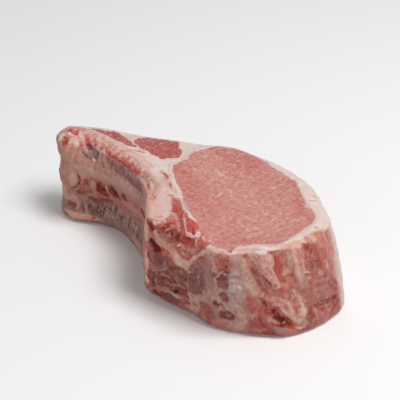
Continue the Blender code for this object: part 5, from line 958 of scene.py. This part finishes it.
# A comb is a row of short strokes: its part of the chop, then a name, a tissue, lift, softness, half width and
# count, and the two lines (x, y, z) between which they lie. A name's length seeds its random draws.
COMBS = (
    ("hollow", "red dashes", "side red", -0.3, 0.9, 0.74, 19,
     ((-70.6, 9.6, 47.8), (-65.5, 8.3, 47.8), (-60.3, 7.5, 47.8), (-53.4, 5.4, 48.3), (-46.4, 3.1, 48.7),
      (-40.9, 2.6, 47.7), (-33.8, -0.1, 47.8), (-26.2, -3.7, 47.9)),
     ((-67.1, 4, 46.7), (-63.3, 3.4, 46), (-57.5, 1.9, 46.2), (-50.7, -0.2, 45.3), (-45.3, -0.5, 43.9),
      (-38.5, -2.6, 44.9), (-30.9, -6, 45.8), (-21, -11.9, 48))),
    ("hollow", "pale dashes", "pale fat", 0.4, 0.7, 0.47, 22,
     ((-70.6, 9.6, 47.8), (-65.9, 8.7, 47.8), (-60.7, 8.1, 48), (-53.7, 5.8, 48.6), (-47.6, 4.7, 48.1),
      (-41.4, 3.3, 47.8), (-34, 0.3, 48.2), (-26.4, -3.3, 48.2)),
     ((-65.5, 2.8, 46.6), (-61.5, 1.9, 46.1), (-55.2, 0.6, 45.8), (-49.6, -0.1, 43.7), (-42.9, -2, 44.2),
      (-37.2, -2.8, 44.2), (-29.5, -6.3, 44.7), (-20.2, -13.1, 46.5))),
    ("hollow", "grey dashes", "blue deep", -0.3, 0.8, 0.72, 15, *UNDER_THE_RIB),
    ("hollow", "tan dashes", "tan grey", 0.3, 0.7, 0.44, 13, *UNDER_THE_RIB),
    # The lower grooves are painted shade between the pale ridges.
    ("hollow", "lower grooves", "hollow dark", -1, 0.8, 0.63, 23,
     ((-63, -3, 15.9), (-58.3, -2, 15.3), (-53.3, -0.6, 15.4), (-47.1, -1.6, 17), (-40.1, -3.8, 18.3),
      (-33.2, -6, 18.2), (-25.5, -9.6, 18.1)),
     ((-65.6, -4.5, 10.4), (-59.8, -3.3, 8.6), (-54.6, -2.1, 7.8), (-48.6, -1.9, 7.4), (-42.6, -2.9, 6.3),
      (-34.2, -7.1, 7.3), (-25.7, -11.6, 7.5))),
    ("hollow", "lower pale ridges", "hollow white", 0.8, 0.7, 0.44, 24,
     ((-63, -3, 16.5), (-58.3, -2.1, 16), (-53.3, -0.6, 16.1), (-47, -1.6, 17.7), (-40, -3.9, 19),
      (-33.2, -6.1, 18.9), (-25.5, -9.6, 18.7)),
     ((-65.9, -5.2, 9.4), (-60.4, -3.6, 7.2), (-55.1, -2.4, 6.5), (-49.5, -1.9, 5.7), (-43.4, -2.8, 4.6),
      (-35.3, -6.6, 5.3), (-26.5, -11.5, 5.8))),
    ("middle", "silver streaks", "pale membrane", 0.15, 0.9, 0.28, 8,
     ((50, -42.8, 40.1), (52.8, -41, 38.9), (55.6, -39.1, 35.3)),
     ((47.8, -41.4, 22.7), (52.1, -42, 22.5), (55.2, -40.6, 21.1))),
    ("middle", "tan streaks", "tan light", 0.15, 1, 0.33, 9,
     ((53.7, -39.1, 46.3), (56.6, -37.9, 36.2), (59.5, -35.2, 30.3)),
     ((51.5, -41.8, 18.4), (54.1, -40.2, 8.5), (58, -39.1, 7))),
    ("middle", "red streaks", "side red", -0.2, 1, 0.33, 9,
     ((58.1, -39, 24.9), (59.6, -37, 26.7), (62, -35.3, 24.1)),
     ((60.3, -38.5, 12.7), (62.8, -36.8, 10.1), (65.1, -34.3, 13.1))),
    ("right", "thin tendons", "tan light", 0.2, 0.8, 0.28, 9,
     ((69.6, -22.8, 49.1), (72, -20.2, 49), (73.8, -15.7, 48.8)),
     ((73.8, -24.6, 30), (76.2, -23.1, 28.9), (77.8, -19.5, 33.2))),
    ("right", "thin red lines", "side red", -0.1, 0.8, 0.25, 9,
     ((70.6, -23.4, 48), (72.7, -20.6, 48.4), (75, -15.8, 47.5)),
     ((73.4, -24.9, 30), (76.7, -22.9, 27.7), (78.1, -19.1, 33.1))),
    ("right", "thin lines of the round muscle", "salmon red", 0.1, 0.9, 0.28, 9,
     ((74.9, -13.1, 42.3), (77.6, -10, 40.8), (79.4, -3.3, 41.6), (79.7, 3.2, 41.4)),
     ((78.5, -16.2, 36.1), (80.9, -13.2, 33.4), (82.9, -6.8, 32), (82.8, 1.9, 30.1))),
    ("right", "lines in the low muscle", "tendon", 0.1, 0.8, 0.25, 9,
     ((79, -17.6, 32.5), (80.6, -16.1, 27.9), (81.1, -16.5, 22.9), (83, -14.7, 12)),
     ((83.6, -2.3, 27), (85.3, 0.6, 19.7), (86.2, -0.4, 15.7), (86.9, -3, 8.9))),
    ("middle", "fine silver lines", "membrane", 0.15, 0.8, 0.22, 12,
     ((49.6, -42.9, 36.5), (53, -41.1, 36.7), (57, -38.4, 31.9)),
     ((48.1, -41.8, 20.6), (51.9, -41.6, 17.2), (56.7, -40.1, 17.1))),
    ("middle", "fine lines of the flap", "pale fat", 0.2, 0.8, 0.19, 6,
     ((58.5, -34.4, 47.7), (61.6, -32.2, 48.2), (64.4, -29.5, 47.6)),
     ((62.6, -33.7, 41.9), (65.2, -32.4, 39.8), (66.8, -29.4, 39.7))),
    ("middle", "fine red lines by the flap", "fresh red", -0.1, 0.8, 0.19, 7,
     ((66.3, -28, 45.7), (68.2, -25.7, 46.2), (70.3, -23.8, 47.1)),
     ((69.6, -27.2, 32.3), (71.7, -25.9, 31.1), (73.7, -23.9, 33.1))),
    ("right", "pale threads in the torn cream", "pale fat", 0.3, 0.7, 0.22, 9,
     ((71.1, -28.5, 27.8), (73.7, -25.3, 28), (76.8, -23, 26.6)),
     ((73, -27.5, 21.9), (75.9, -25.7, 19.5), (78.8, -21.8, 18.1))),
    ("spine", "pale threads in the marrow", "tendon", 0.3, 0.7, 0.19, 7,
     ((5.4, -40.1, 46.1), (9.2, -39.6, 46.1), (12.5, -38.4, 46.7), (15.3, -38.3, 46.5)),
     ((8, -40.7, 42.1), (11.2, -41, 41.7), (14.4, -41.3, 41.4), (17.7, -41, 41.9))),
    # Painted shadow: dark dashes on the flesh under the wedge's lower end.
    ("spine", "dark flesh under the wedge", "torn dark", -0.1, 0.9, 0.39, 6,
     ((15.8, -37.2, 47.3), (20.2, -38.6, 46.2), (25.6, -39, 46.2)),
     ((18.9, -41.1, 41.9), (22.3, -41, 42.5), (27, -40.3, 44))),
    # Painted shade in the holes of the marrow.
    ("spine", "dark holes of the marrow", "clot", -0.2, 0.9, 0.3, 6,
     ((6.4, -39.8, 45.2), (10.8, -39.4, 46), (14.8, -38.4, 46.4), (18.2, -38.3, 46.5)),
     ((9.1, -40.5, 43.6), (13.3, -40.5, 42.9), (17.3, -40.4, 42.6), (20, -40.1, 43.5))),
)
HIDDEN_COMBS = (
    # The grooves behind are painted shade, as the lower grooves are.
    ("hidden", "grooves behind", "hollow dark", -0.8, 0.8, 0.6, 11,
     ((-25, -11.6, 18), (-11.6, -21.6, 19), (-7, -31, 20)),
     ((-25.6, -11.2, 7), (-11.6, -22, 8), (-7, -31, 9))),
    ("hidden", "ridges behind", "hollow white", 0.6, 0.8, 0.45, 11,
     ((-24.6, -11.8, 18.6), (-11.4, -21.8, 19.6), (-6.8, -31.4, 20)),
     ((-25.4, -11.4, 7), (-11.4, -22.2, 8), (-6.8, -31.4, 9))),
)


def linear(code):
    """An sRGB hex colour as linear red, green and blue."""
    parts = [int(code[i : i + 2], 16) / 255 for i in (0, 2, 4)]
    return [part / 12.92 if part <= 0.04045 else ((part + 0.055) / 1.055) ** 2.4 for part in parts]


def cloud(places, size, seed=0):
    """Soft random values from -1 to 1 over places, with lumps of a size in millimetres."""
    # Each seed has a table of its own, and starts at its own place in it.
    cells = 32
    table = np.random.default_rng(11 + seed).random((cells, cells, cells)) * 2 - 1
    scaled = places / size + 7.3 * (seed + 1)
    cell = np.floor(scaled).astype(int)
    share = scaled - cell
    share = share * share * (3 - 2 * share)
    total = np.zeros(len(places))
    for corner in range(8):
        step = np.array([corner & 1, corner >> 1 & 1, corner >> 2 & 1])
        weight = np.prod(np.where(step, share, 1 - share), axis=1)
        x, y, z = ((cell + step) % cells).T
        total += weight * table[x, y, z]
    return total


def smooth_step(low, high, values):
    """Rises softly from 0 at low to 1 at high."""
    share = np.clip((values - low) / (high - low), 0, 1)
    return share * share * (3 - 2 * share)


def drawn_through(points, closed, step):
    """Points about a step apart along a smooth line through the given ones."""
    points = np.array(points, float)
    count = len(points)
    spans = count if closed else count - 1
    line = []
    for span in range(spans):
        around = [span - 1, span, span + 1, span + 2]
        around = [i % count if closed else min(max(i, 0), count - 1) for i in around]
        before, here, after, beyond = points[around]
        pieces = max(1, math.ceil(np.linalg.norm((after - here)[:3]) / step))
        for piece in range(pieces):
            t = piece / pieces
            line.append(
                here * (2 * t**3 - 3 * t**2 + 1)
                + (after - before) / 2 * (t**3 - 2 * t**2 + t)
                + after * (3 * t**2 - 2 * t**3)
                + (beyond - here) / 2 * (t**3 - t**2)
            )
    if not closed:
        line.append(points[-1])
    return np.array(line)


def edge_share(gaps, soft):
    """1 inside an edge, where the gaps are negative, fading to 0 over a softness."""
    return 1 - smooth_step(-0.5 * soft, 0.5 * soft, gaps)


def stroke_share(places, points, soft):
    """How much of a stroke covers each place. A long stroke tapers to 0.3 of its width at both ends."""
    line = drawn_through(points, False, 0.5)
    middle, half = line[:, :3], np.maximum(line[:, 3], 0.2)
    passed = np.append(0, np.cumsum(np.linalg.norm(np.diff(middle, axis=0), axis=1)))
    if passed[-1] > 9 * half.mean():
        half *= 0.3 + 0.7 * np.minimum(1, np.minimum(passed, passed[-1] - passed) / (3 * half))
    reach = half.max() + soft
    near = np.all((places > middle.min(0) - reach) & (places < middle.max(0) + reach), axis=1)
    share = np.zeros(len(places))
    if near.any():
        gaps = np.linalg.norm(places[near][:, None] - middle[None], axis=2) - half[None]
        share[near] = edge_share(gaps.min(1), soft)
    return share


def region_share(places, border, soft):
    """How much a region seen from above covers each place."""
    line = drawn_through(border, True, 1.0)
    following = np.roll(line, -1, axis=0)
    x, y = places[:, 0:1], places[:, 1:2]
    spans = (line[None, :, 1] > y) != (following[None, :, 1] > y)
    rise = np.where(following[:, 1] == line[:, 1], 1e-9, following[:, 1] - line[:, 1])
    crossing = (following[:, 0] - line[:, 0]) * (y - line[:, 1]) / rise + line[:, 0]
    inside = (spans & (x < crossing)).sum(1) % 2 == 1
    away = np.sqrt((x - line[:, 0]) ** 2 + (y - line[:, 1]) ** 2).min(1)
    return edge_share(np.where(inside, -away, away), soft)


class Skin:
    """What is painted on a piece: its colour, how much fibre shows in it, and how far it is lifted."""

    def __init__(self, places, facing):
        self.places = places
        # Borders between tissues wander by up to about 0.8 mm, so each place is painted as if it lay off by that.
        drift = [0.5 * cloud(places, 3.2, seed) + 0.32 * cloud(places, 1.2, seed + 3) for seed in (1, 2, 3)]
        self.sought = places + np.stack(drift, axis=1)
        self.facing = facing
        self.colour = np.tile(linear(TISSUES["lean"]), (len(places), 1))
        self.fibre = np.ones(len(places))
        self.lift = np.zeros(len(places))

    def lay(self, share, tissue, lift=0.0):
        """Lays a tissue over the part of the skin that its share covers."""
        self.colour += (np.array(linear(TISSUES[tissue])) - self.colour) * share[:, None]
        self.fibre += ((0.0 if tissue in PLAIN_TISSUES else 1.0) - self.fibre) * share
        self.lift += lift * share

    def strokes(self, strokes):
        """Lays strokes one over another."""
        for _, tissue, lift, soft, points in strokes:
            self.lay(stroke_share(self.sought, points, soft), tissue, lift)


def comb(name, tissue, lift, soft, half, count, upper, lower):
    """Short strokes side by side between two lines, as ridges and torn threads lie."""
    chance = np.random.default_rng(len(name))
    upper, lower = drawn_through(upper, False, 0.2), drawn_through(lower, False, 0.2)
    strokes = []
    for row in range(count):
        along = (row + 0.5 + chance.uniform(-0.3, 0.3)) / count
        first, last = (line[int(along * (len(line) - 1))] for line in (upper, lower))
        start, end = (first + (last - first) * share for share in (chance.uniform(0, 0.3), chance.uniform(0.65, 1)))
        width = half * chance.uniform(0.7, 1.25)
        points = ((*start, 0.7 * width), (*(start + end) / 2, width), (*end, 0.6 * width))
        strokes.append((name, tissue, lift, soft, points))
    return strokes


def grounds(skin):
    """The broad tissues under all the strokes: lean on the spine side, fat at the back and on the cut faces."""
    z = skin.places[:, 2]
    out_y, out_z = skin.facing[:, 1], skin.facing[:, 2]
    skin.lay(smooth_step(0.0, 0.5, cloud(skin.places, 11.0, 5)), "right lean dark")
    skin.lay(smooth_step(0.2, 0.7, cloud(skin.places, 5.0, 6)), "brown lean")
    # The outer fat has faint clouds. Each has a tissue, a size in mm, how much flatter than wide it lies, a seed,
    # the values between which it rises, and its strength.
    back = smooth_step(-0.1, 0.3, out_y)
    skin.lay(back, "fat")
    for tissue, size, squeeze, seed, low, high, strength in (
        ("pale fat", 9.0, 1.0, 7, -0.2, 0.8, 0.6),
        ("strip", 14.0, 1.6, 8, -0.1, 0.8, 0.4),
        ("salmon", 6.0, 1.8, 9, 0.35, 0.8, 0.3),
    ):
        skin.lay(back * smooth_step(low, high, cloud(skin.places * [1, 1, squeeze], size, seed)) * strength, tissue)
    # The cut faces. The lower one's borders are shifted a little, as the muscles run on for 50 mm between the two.
    upper = smooth_step(44.5, 46.5, z) * smooth_step(0.5, 0.75, out_z)
    under = smooth_step(2.0, 0.8, z) * smooth_step(0.5, 0.8, -out_z)
    for share, border_shift in ((upper, 0.0), (under, 1.2)):
        shift = [cloud(skin.places, 9.0, 20), cloud(skin.places, 9.0, 21), 0 * z]
        places = skin.sought + border_shift * np.stack(shift, axis=1)
        shown = share > 0.001
        skin.lay(share, "fat")
        skin.lay(share * smooth_step(0.2, 0.8, cloud(skin.places, 7.0, 10)) * 0.6, "pale fat")
        for _, tissue, lift, soft, border in REGIONS:
            cover = np.zeros(len(z))
            cover[shown] = region_share(places[shown], border, soft) * share[shown]
            skin.lay(cover, tissue, lift if border_shift == 0 else 0.0)


def painted(thing):
    """Paints a piece by where its points lie, and lifts them with the strokes."""
    data = thing.data
    count = len(data.vertices)
    places, facing = np.empty(3 * count), np.empty(3 * count)
    data.vertices.foreach_get("co", places)
    data.vertex_normals.foreach_get("vector", facing)
    places, facing = places.reshape(-1, 3) / MM, facing.reshape(-1, 3)
    skin = Skin(places, facing)
    grounds(skin)
    for part, strokes in (
        ("hidden", HIDDEN_STROKES),
        ("hollow", HOLLOW_STROKES),
        ("spine", SPINE_STROKES),
        ("middle", MIDDLE_STROKES),
        ("right", RIGHT_STROKES),
        ("face", FACE_STROKES),
        ("lip", LIP_STROKES),
    ):
        skin.strokes(strokes)
        for row in HIDDEN_COMBS + COMBS:
            if row[0] == part:
                skin.strokes(comb(*row[1:]))
    # Torn threads, about 1 mm thick and twice as tall, on the sides that were sawn and pulled but not on the fat.
    side = 1 - smooth_step(0.4, 0.75, np.abs(facing[:, 2]))
    threads = 0.6 * cloud(places * [1, 1, 0.5], 1.5, 14) + 0.4 * cloud(places * [1, 1, 0.6], 0.9, 15)
    torn = side * (0.2 + 0.8 * skin.fibre) * smooth_step(0.3, -0.1, facing[:, 1])
    skin.lay(torn * smooth_step(0.1, 0.5, threads) * THREAD_SHARE, "tendon", PALE_THREAD_LIFT)
    skin.lay(torn * smooth_step(0.1, 0.5, -threads) * THREAD_SHARE, "torn red", RED_THREAD_LIFT)
    skin.fibre *= 1 - 0.75 * side
    # A wet surface is never flat: it ripples by up to 0.5 mm on the sides and 0.15 mm on the cut faces. Ripples and
    # lifts fade out just above the table, so that the chop keeps its flat foot.
    ripple = (0.10 + 0.22 * side) * cloud(places, 3.4, 12) + (0.05 + 0.15 * side) * cloud(places, 1.5, 13)
    above = smooth_step(0.5, 2.5, places[:, 2])
    moved = places + facing * ((skin.lift + ripple) * above)[:, None]
    moved[:, 2] = np.maximum(moved[:, 2], 0.0)
    data.vertices.foreach_set("co", (moved * MM).ravel())
    tint = np.concatenate([skin.colour, np.ones((count, 1))], axis=1)
    data.attributes.new("tint", "FLOAT_COLOR", "POINT").data.foreach_set("color", tint.ravel())
    data.attributes.new("fibre", "FLOAT", "POINT").data.foreach_set("value", skin.fibre)


def merged(nodes, name, net):
    """CAD nodes as one thing of its own, with an even, fine net of faces and its flats smoothed away."""
    mesh = bmesh.new()
    for node in nodes:
        mesh.from_mesh(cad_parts[node].data)
    bmesh.ops.remove_doubles(mesh, verts=mesh.verts, dist=1e-6)
    data = bpy.data.meshes.new(name)
    mesh.to_mesh(data)
    mesh.free()
    thing = bpy.data.objects.new(name, data)
    bpy.context.scene.collection.objects.link(thing)
    remesh = thing.modifiers.new("net", "REMESH")
    remesh.mode = "VOXEL"
    remesh.voxel_size = net * MM
    smooth = thing.modifiers.new("smooth", "SMOOTH")
    smooth.factor = 0.5
    smooth.iterations = 7
    graph = bpy.context.evaluated_depsgraph_get()
    thing.data = bpy.data.meshes.new_from_object(thing.evaluated_get(graph))
    thing.modifiers.clear()
    bpy.data.meshes.remove(data)
    thing.data.name = name
    return thing


def whole_outside():
    """The chop's outside, over the meat and the bone together, to find the nearest point on."""
    thing = merged(("meat", "rib_bone"), "outside", OUTSIDE_NET)
    mesh = bmesh.new()
    mesh.from_mesh(thing.data)
    tree = BVHTree.FromBMesh(mesh)
    mesh.free()
    bpy.data.objects.remove(thing)
    return tree


def drawn_to(thing, outside, within):
    """Draws a piece's points that lie near the chop's outside onto it, so that pieces meet without a groove."""
    for point in thing.data.vertices:
        place, _, _, _ = outside.find_nearest(point.co, within * MM)
        if place is not None:
            point.co = place


def finer(thing, shows):
    """Halves the net's faces where shows(centre, normal) is true."""
    mesh = bmesh.new()
    mesh.from_mesh(thing.data)
    mesh.normal_update()
    edges = {edge for face in mesh.faces if shows(face.calc_center_median(), face.normal) for edge in face.edges}
    bmesh.ops.subdivide_edges(mesh, edges=list(edges), cuts=1, use_grid_fill=True, smooth=0.0)
    mesh.to_mesh(thing.data)
    mesh.free()


def grown(thing, by):
    """Pushes a piece's points outwards by so many millimetres."""
    mesh = bmesh.new()
    mesh.from_mesh(thing.data)
    mesh.normal_update()
    for point in mesh.verts:
        point.co += point.normal * by * MM
    mesh.to_mesh(thing.data)
    mesh.free()


def add(tree, kind, settings=None, links=None):
    """Adds a node, with its settings and the outputs that feed it."""
    node = tree.nodes.new(kind)
    for name, value in (settings or {}).items():
        if isinstance(name, int) or name in node.inputs:
            node.inputs[name].default_value = value
        else:
            setattr(node, name, value)
    for name, output in (links or {}).items():
        tree.links.new(output, node.inputs[name])
    return node


def per_mm(size):
    """A texture's scale for lumps of a size in millimetres, on coordinates in metres."""
    return 1.0 / (size * MM)


def pork(name, gloss_low, gloss_high):
    """Raw pork or bone, wet from the cut: soft, a little see-through, and glossy where its juice lies.

    The painted tint gives the tissues. Long strands and short pale flecks give the lean its grain, a mottle and a
    finer grain keep fat and bone from looking like plastic, and what is darker also turns redder, as wet meat does.
    """
    material = bpy.data.materials.new(name)
    material.use_nodes = True
    tree = material.node_tree
    shader = tree.nodes["Principled BSDF"]
    place = add(tree, "ShaderNodeTexCoord").outputs["Object"]
    tint = add(tree, "ShaderNodeAttribute", {"attribute_name": "tint"}).outputs["Color"]
    fibre = add(tree, "ShaderNodeAttribute", {"attribute_name": "fibre"}).outputs["Fac"]

    # Strands lie five times as long as they are thick, and flecks nearly twice as long, along the fibres.
    along, short = (
        add(
            tree,
            "ShaderNodeMapping",
            {"vector_type": "TEXTURE", "Rotation": (0, 0, STRAND_TURN), "Scale": stretch},
            {"Vector": place},
        ).outputs[0]
        for stretch in ((5.0, 1.0, 2.0), (1.8, 1.0, 1.4))
    )
    # The patterns: the size of their lumps, their detail, roughness and distortion, and what they lie along.
    strands, flecks, patches, mottle, grain, pores = (
        add(
            tree,
            "ShaderNodeTexNoise",
            {"Scale": per_mm(size), "Detail": detail, "Roughness": rough, "Distortion": twist},
            {"Vector": way},
        ).outputs["Fac"]
        for size, detail, rough, twist, way in (
            (STRAND, 3.0, 0.6, 0.3, along),
            (FLECK, 2.0, 0.6, 0.4, short),
            (PATCH, 2.0, 0.5, 0.6, place),
            (MOTTLE, 3.0, 0.6, 0.0, place),
            (GRAIN, 2.0, 0.7, 0.0, place),
            (PORES, 4.0, 0.6, 0.0, place),
        )
    )
    # What each of them gives as it runs from its low to its high: the least and the most.
    strand_share, fleck_share, patch_share, mottle_share, grain_share, gloss, lean_share = (
        add(
            tree,
            "ShaderNodeMapRange",
            {"From Min": low, "From Max": high, "To Min": least, "To Max": most},
            {"Value": source},
        ).outputs[0]
        for source, low, high, least, most in (
            (strands, 0.35, 0.65, -0.05, 0.04),
            (flecks, 0.45, 0.72, 0.0, 0.58),
            (patches, 0.35, 0.62, 0.35, 1.0),
            (mottle, 0.35, 0.65, -0.13, 0.12),
            (grain, 0.35, 0.65, -0.13, 0.12),
            (mottle, 0.35, 0.65, gloss_low, gloss_high),
            (fibre, 0.0, 0.25, 0.3, 1.0),
        )
    )

    # Pale flecks lie in the lean alone, and more of them in some patches than in others.
    flecked = add(tree, "ShaderNodeMath", {"operation": "MULTIPLY"}, {0: fleck_share, 1: fibre}).outputs[0]
    flecked = add(tree, "ShaderNodeMath", {"operation": "MULTIPLY"}, {0: flecked, 1: patch_share}).outputs[0]
    pale = add(
        tree, "ShaderNodeMix", {"data_type": "RGBA", 7: (*linear(FLECK_FAT), 1)}, {0: flecked, 6: tint}
    ).outputs[2]
    # The shade is about 1: red takes it by a lower power than green and blue do, so what is darker is also redder.
    mottled = add(tree, "ShaderNodeMath", {"operation": "ADD"}, {0: mottle_share, 1: grain_share}).outputs[0]
    mottled = add(tree, "ShaderNodeMath", {"operation": "MULTIPLY"}, {0: mottled, 1: lean_share}).outputs[0]
    shade = add(tree, "ShaderNodeMath", {"operation": "MULTIPLY_ADD", 2: 1.0}, {0: strand_share, 1: fibre}).outputs[0]
    shade = add(tree, "ShaderNodeMath", {"operation": "ADD"}, {0: shade, 1: mottled}).outputs[0]
    red, other = (
        add(tree, "ShaderNodeMath", {"operation": "POWER", 1: power}, {0: shade}).outputs[0] for power in (0.7, 1.7)
    )
    redder = add(tree, "ShaderNodeCombineColor", {}, {0: red, 1: other, 2: other}).outputs[0]
    shaded = add(
        tree, "ShaderNodeMix", {"data_type": "RGBA", "blend_type": "MULTIPLY", 0: 1.0}, {6: pale, 7: redder}
    ).outputs[2]
    bump = add(tree, "ShaderNodeBump", {"Strength": 0.7, "Distance": 0.3 * MM}, {"Height": pores}).outputs[0]
    for socket, output in (("Base Color", shaded), ("Roughness", gloss), ("Normal", bump)):
        tree.links.new(output, shader.inputs[socket])
    # Water and juice have an IOR of 1.33 to 1.38, and red light goes furthest into flesh.
    for socket, value in (
        ("IOR", 1.36),
        ("Specular IOR Level", 0.4),
        ("Subsurface Weight", 0.1),
        ("Subsurface Radius", (1.0, 0.4, 0.25)),
        ("Subsurface Scale", 1.0 * MM),
    ):
        shader.inputs[socket].default_value = value
    return material


def chop():
    """The meat and the bone, drawn onto one outside, painted and dressed."""
    outside = whole_outside()

    def shows(place, facing):
        """True on the outside, on the upper cut face and on the sides that face the spine and the hollow."""
        if outside.find_nearest(place, 1.2 * MM)[0] is None or place.z < 2 * MM:
            return False
        return facing.y < 0.15 or (place.z > 44 * MM and facing.z > 0.5)

    meat = merged(("meat",), "raw_meat", MEAT_NET)
    bone = merged(("rib_bone",), "sawn_bone", BONE_NET)
    grown(bone, BONE_SWELL)
    drawn_to(meat, outside, MEAT_REACH)
    drawn_to(bone, outside, BONE_REACH)
    grown(bone, BONE_PROUD)
    finer(meat, shows)
    for thing, node, slot, material in (
        # Freshly cut meat is wet, so it shines in small soft glints.
        (meat, "meat", "meat", pork("raw pork, freshly cut", 0.30, 0.48)),
        # Bone soaks up more of the juice, so the saw's cut through it stays duller.
        (bone, "rib_bone", "bone", pork("sawn rib bone", 0.38, 0.55)),
    ):
        painted(thing)
        thing.data.shade_smooth()
        thing.data.set_sharp_from_angle(angle=CREASE)
        thing.data.materials.clear()
        thing.data.materials.append(material)
        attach(thing, "root")
        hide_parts(node)
        print(thing.name, sum(len(face.vertices) - 2 for face in thing.data.polygons), "triangles")


def floor():
    """A wide sheet of matt paper, which gives the chop its soft shadow and no glare."""
    mesh = bmesh.new()
    bmesh.ops.create_grid(mesh, x_segments=1, y_segments=1, size=3.0)
    data = bpy.data.meshes.new("floor")
    mesh.to_mesh(data)
    mesh.free()
    thing = bpy.data.objects.new("floor", data)
    bpy.context.scene.collection.objects.link(thing)
    material = bpy.data.materials.new("matt white paper")
    material.use_nodes = True
    shader = material.node_tree.nodes["Principled BSDF"]
    shader.inputs["Base Color"].default_value = (*linear(PAPER), 1)
    shader.inputs["Roughness"].default_value = 0.9
    data.materials.append(material)


# The camera looks past AIM along AHEAD, from a distance in metres.
AIM = Vector((0.01288, -0.01058, 0.048))
AHEAD = Vector((-0.4515, 0.6953, -0.5592))
DISTANCE = 0.61


def look():
    """The camera, two softboxes and an even white room."""
    scene = bpy.context.scene
    camera = bpy.data.objects.new("camera", bpy.data.cameras.new("camera"))
    scene.collection.objects.link(camera)
    camera.location = AIM - AHEAD * DISTANCE
    camera.rotation_euler = AHEAD.to_track_quat("-Z", "Y").to_euler()
    camera.data.lens = 110
    camera.data.sensor_width = 36
    camera.data.clip_start = 0.01
    scene.camera = camera
    scene.view_settings.view_transform = "Standard"
    for name, place, width, power in (
        ("key softbox", (0.46, 0.06, 1.05), 0.5, 9.6),
        ("fill softbox", (-0.2, -1.0, 0.6), 0.8, 0.8),
    ):
        light = bpy.data.objects.new(name, bpy.data.lights.new(name, "AREA"))
        scene.collection.objects.link(light)
        light.data.size = width
        light.data.energy = power
        light.location = place
        light.rotation_euler = (AIM - light.location).to_track_quat("-Z", "Y").to_euler()
    world = bpy.data.worlds.new("studio")
    world.use_nodes = True
    room = world.node_tree.nodes["Background"]
    room.inputs["Color"].default_value = (1, 1, 1, 1)
    room.inputs["Strength"].default_value = 0.36
    scene.world = world


chop()
floor()
look()
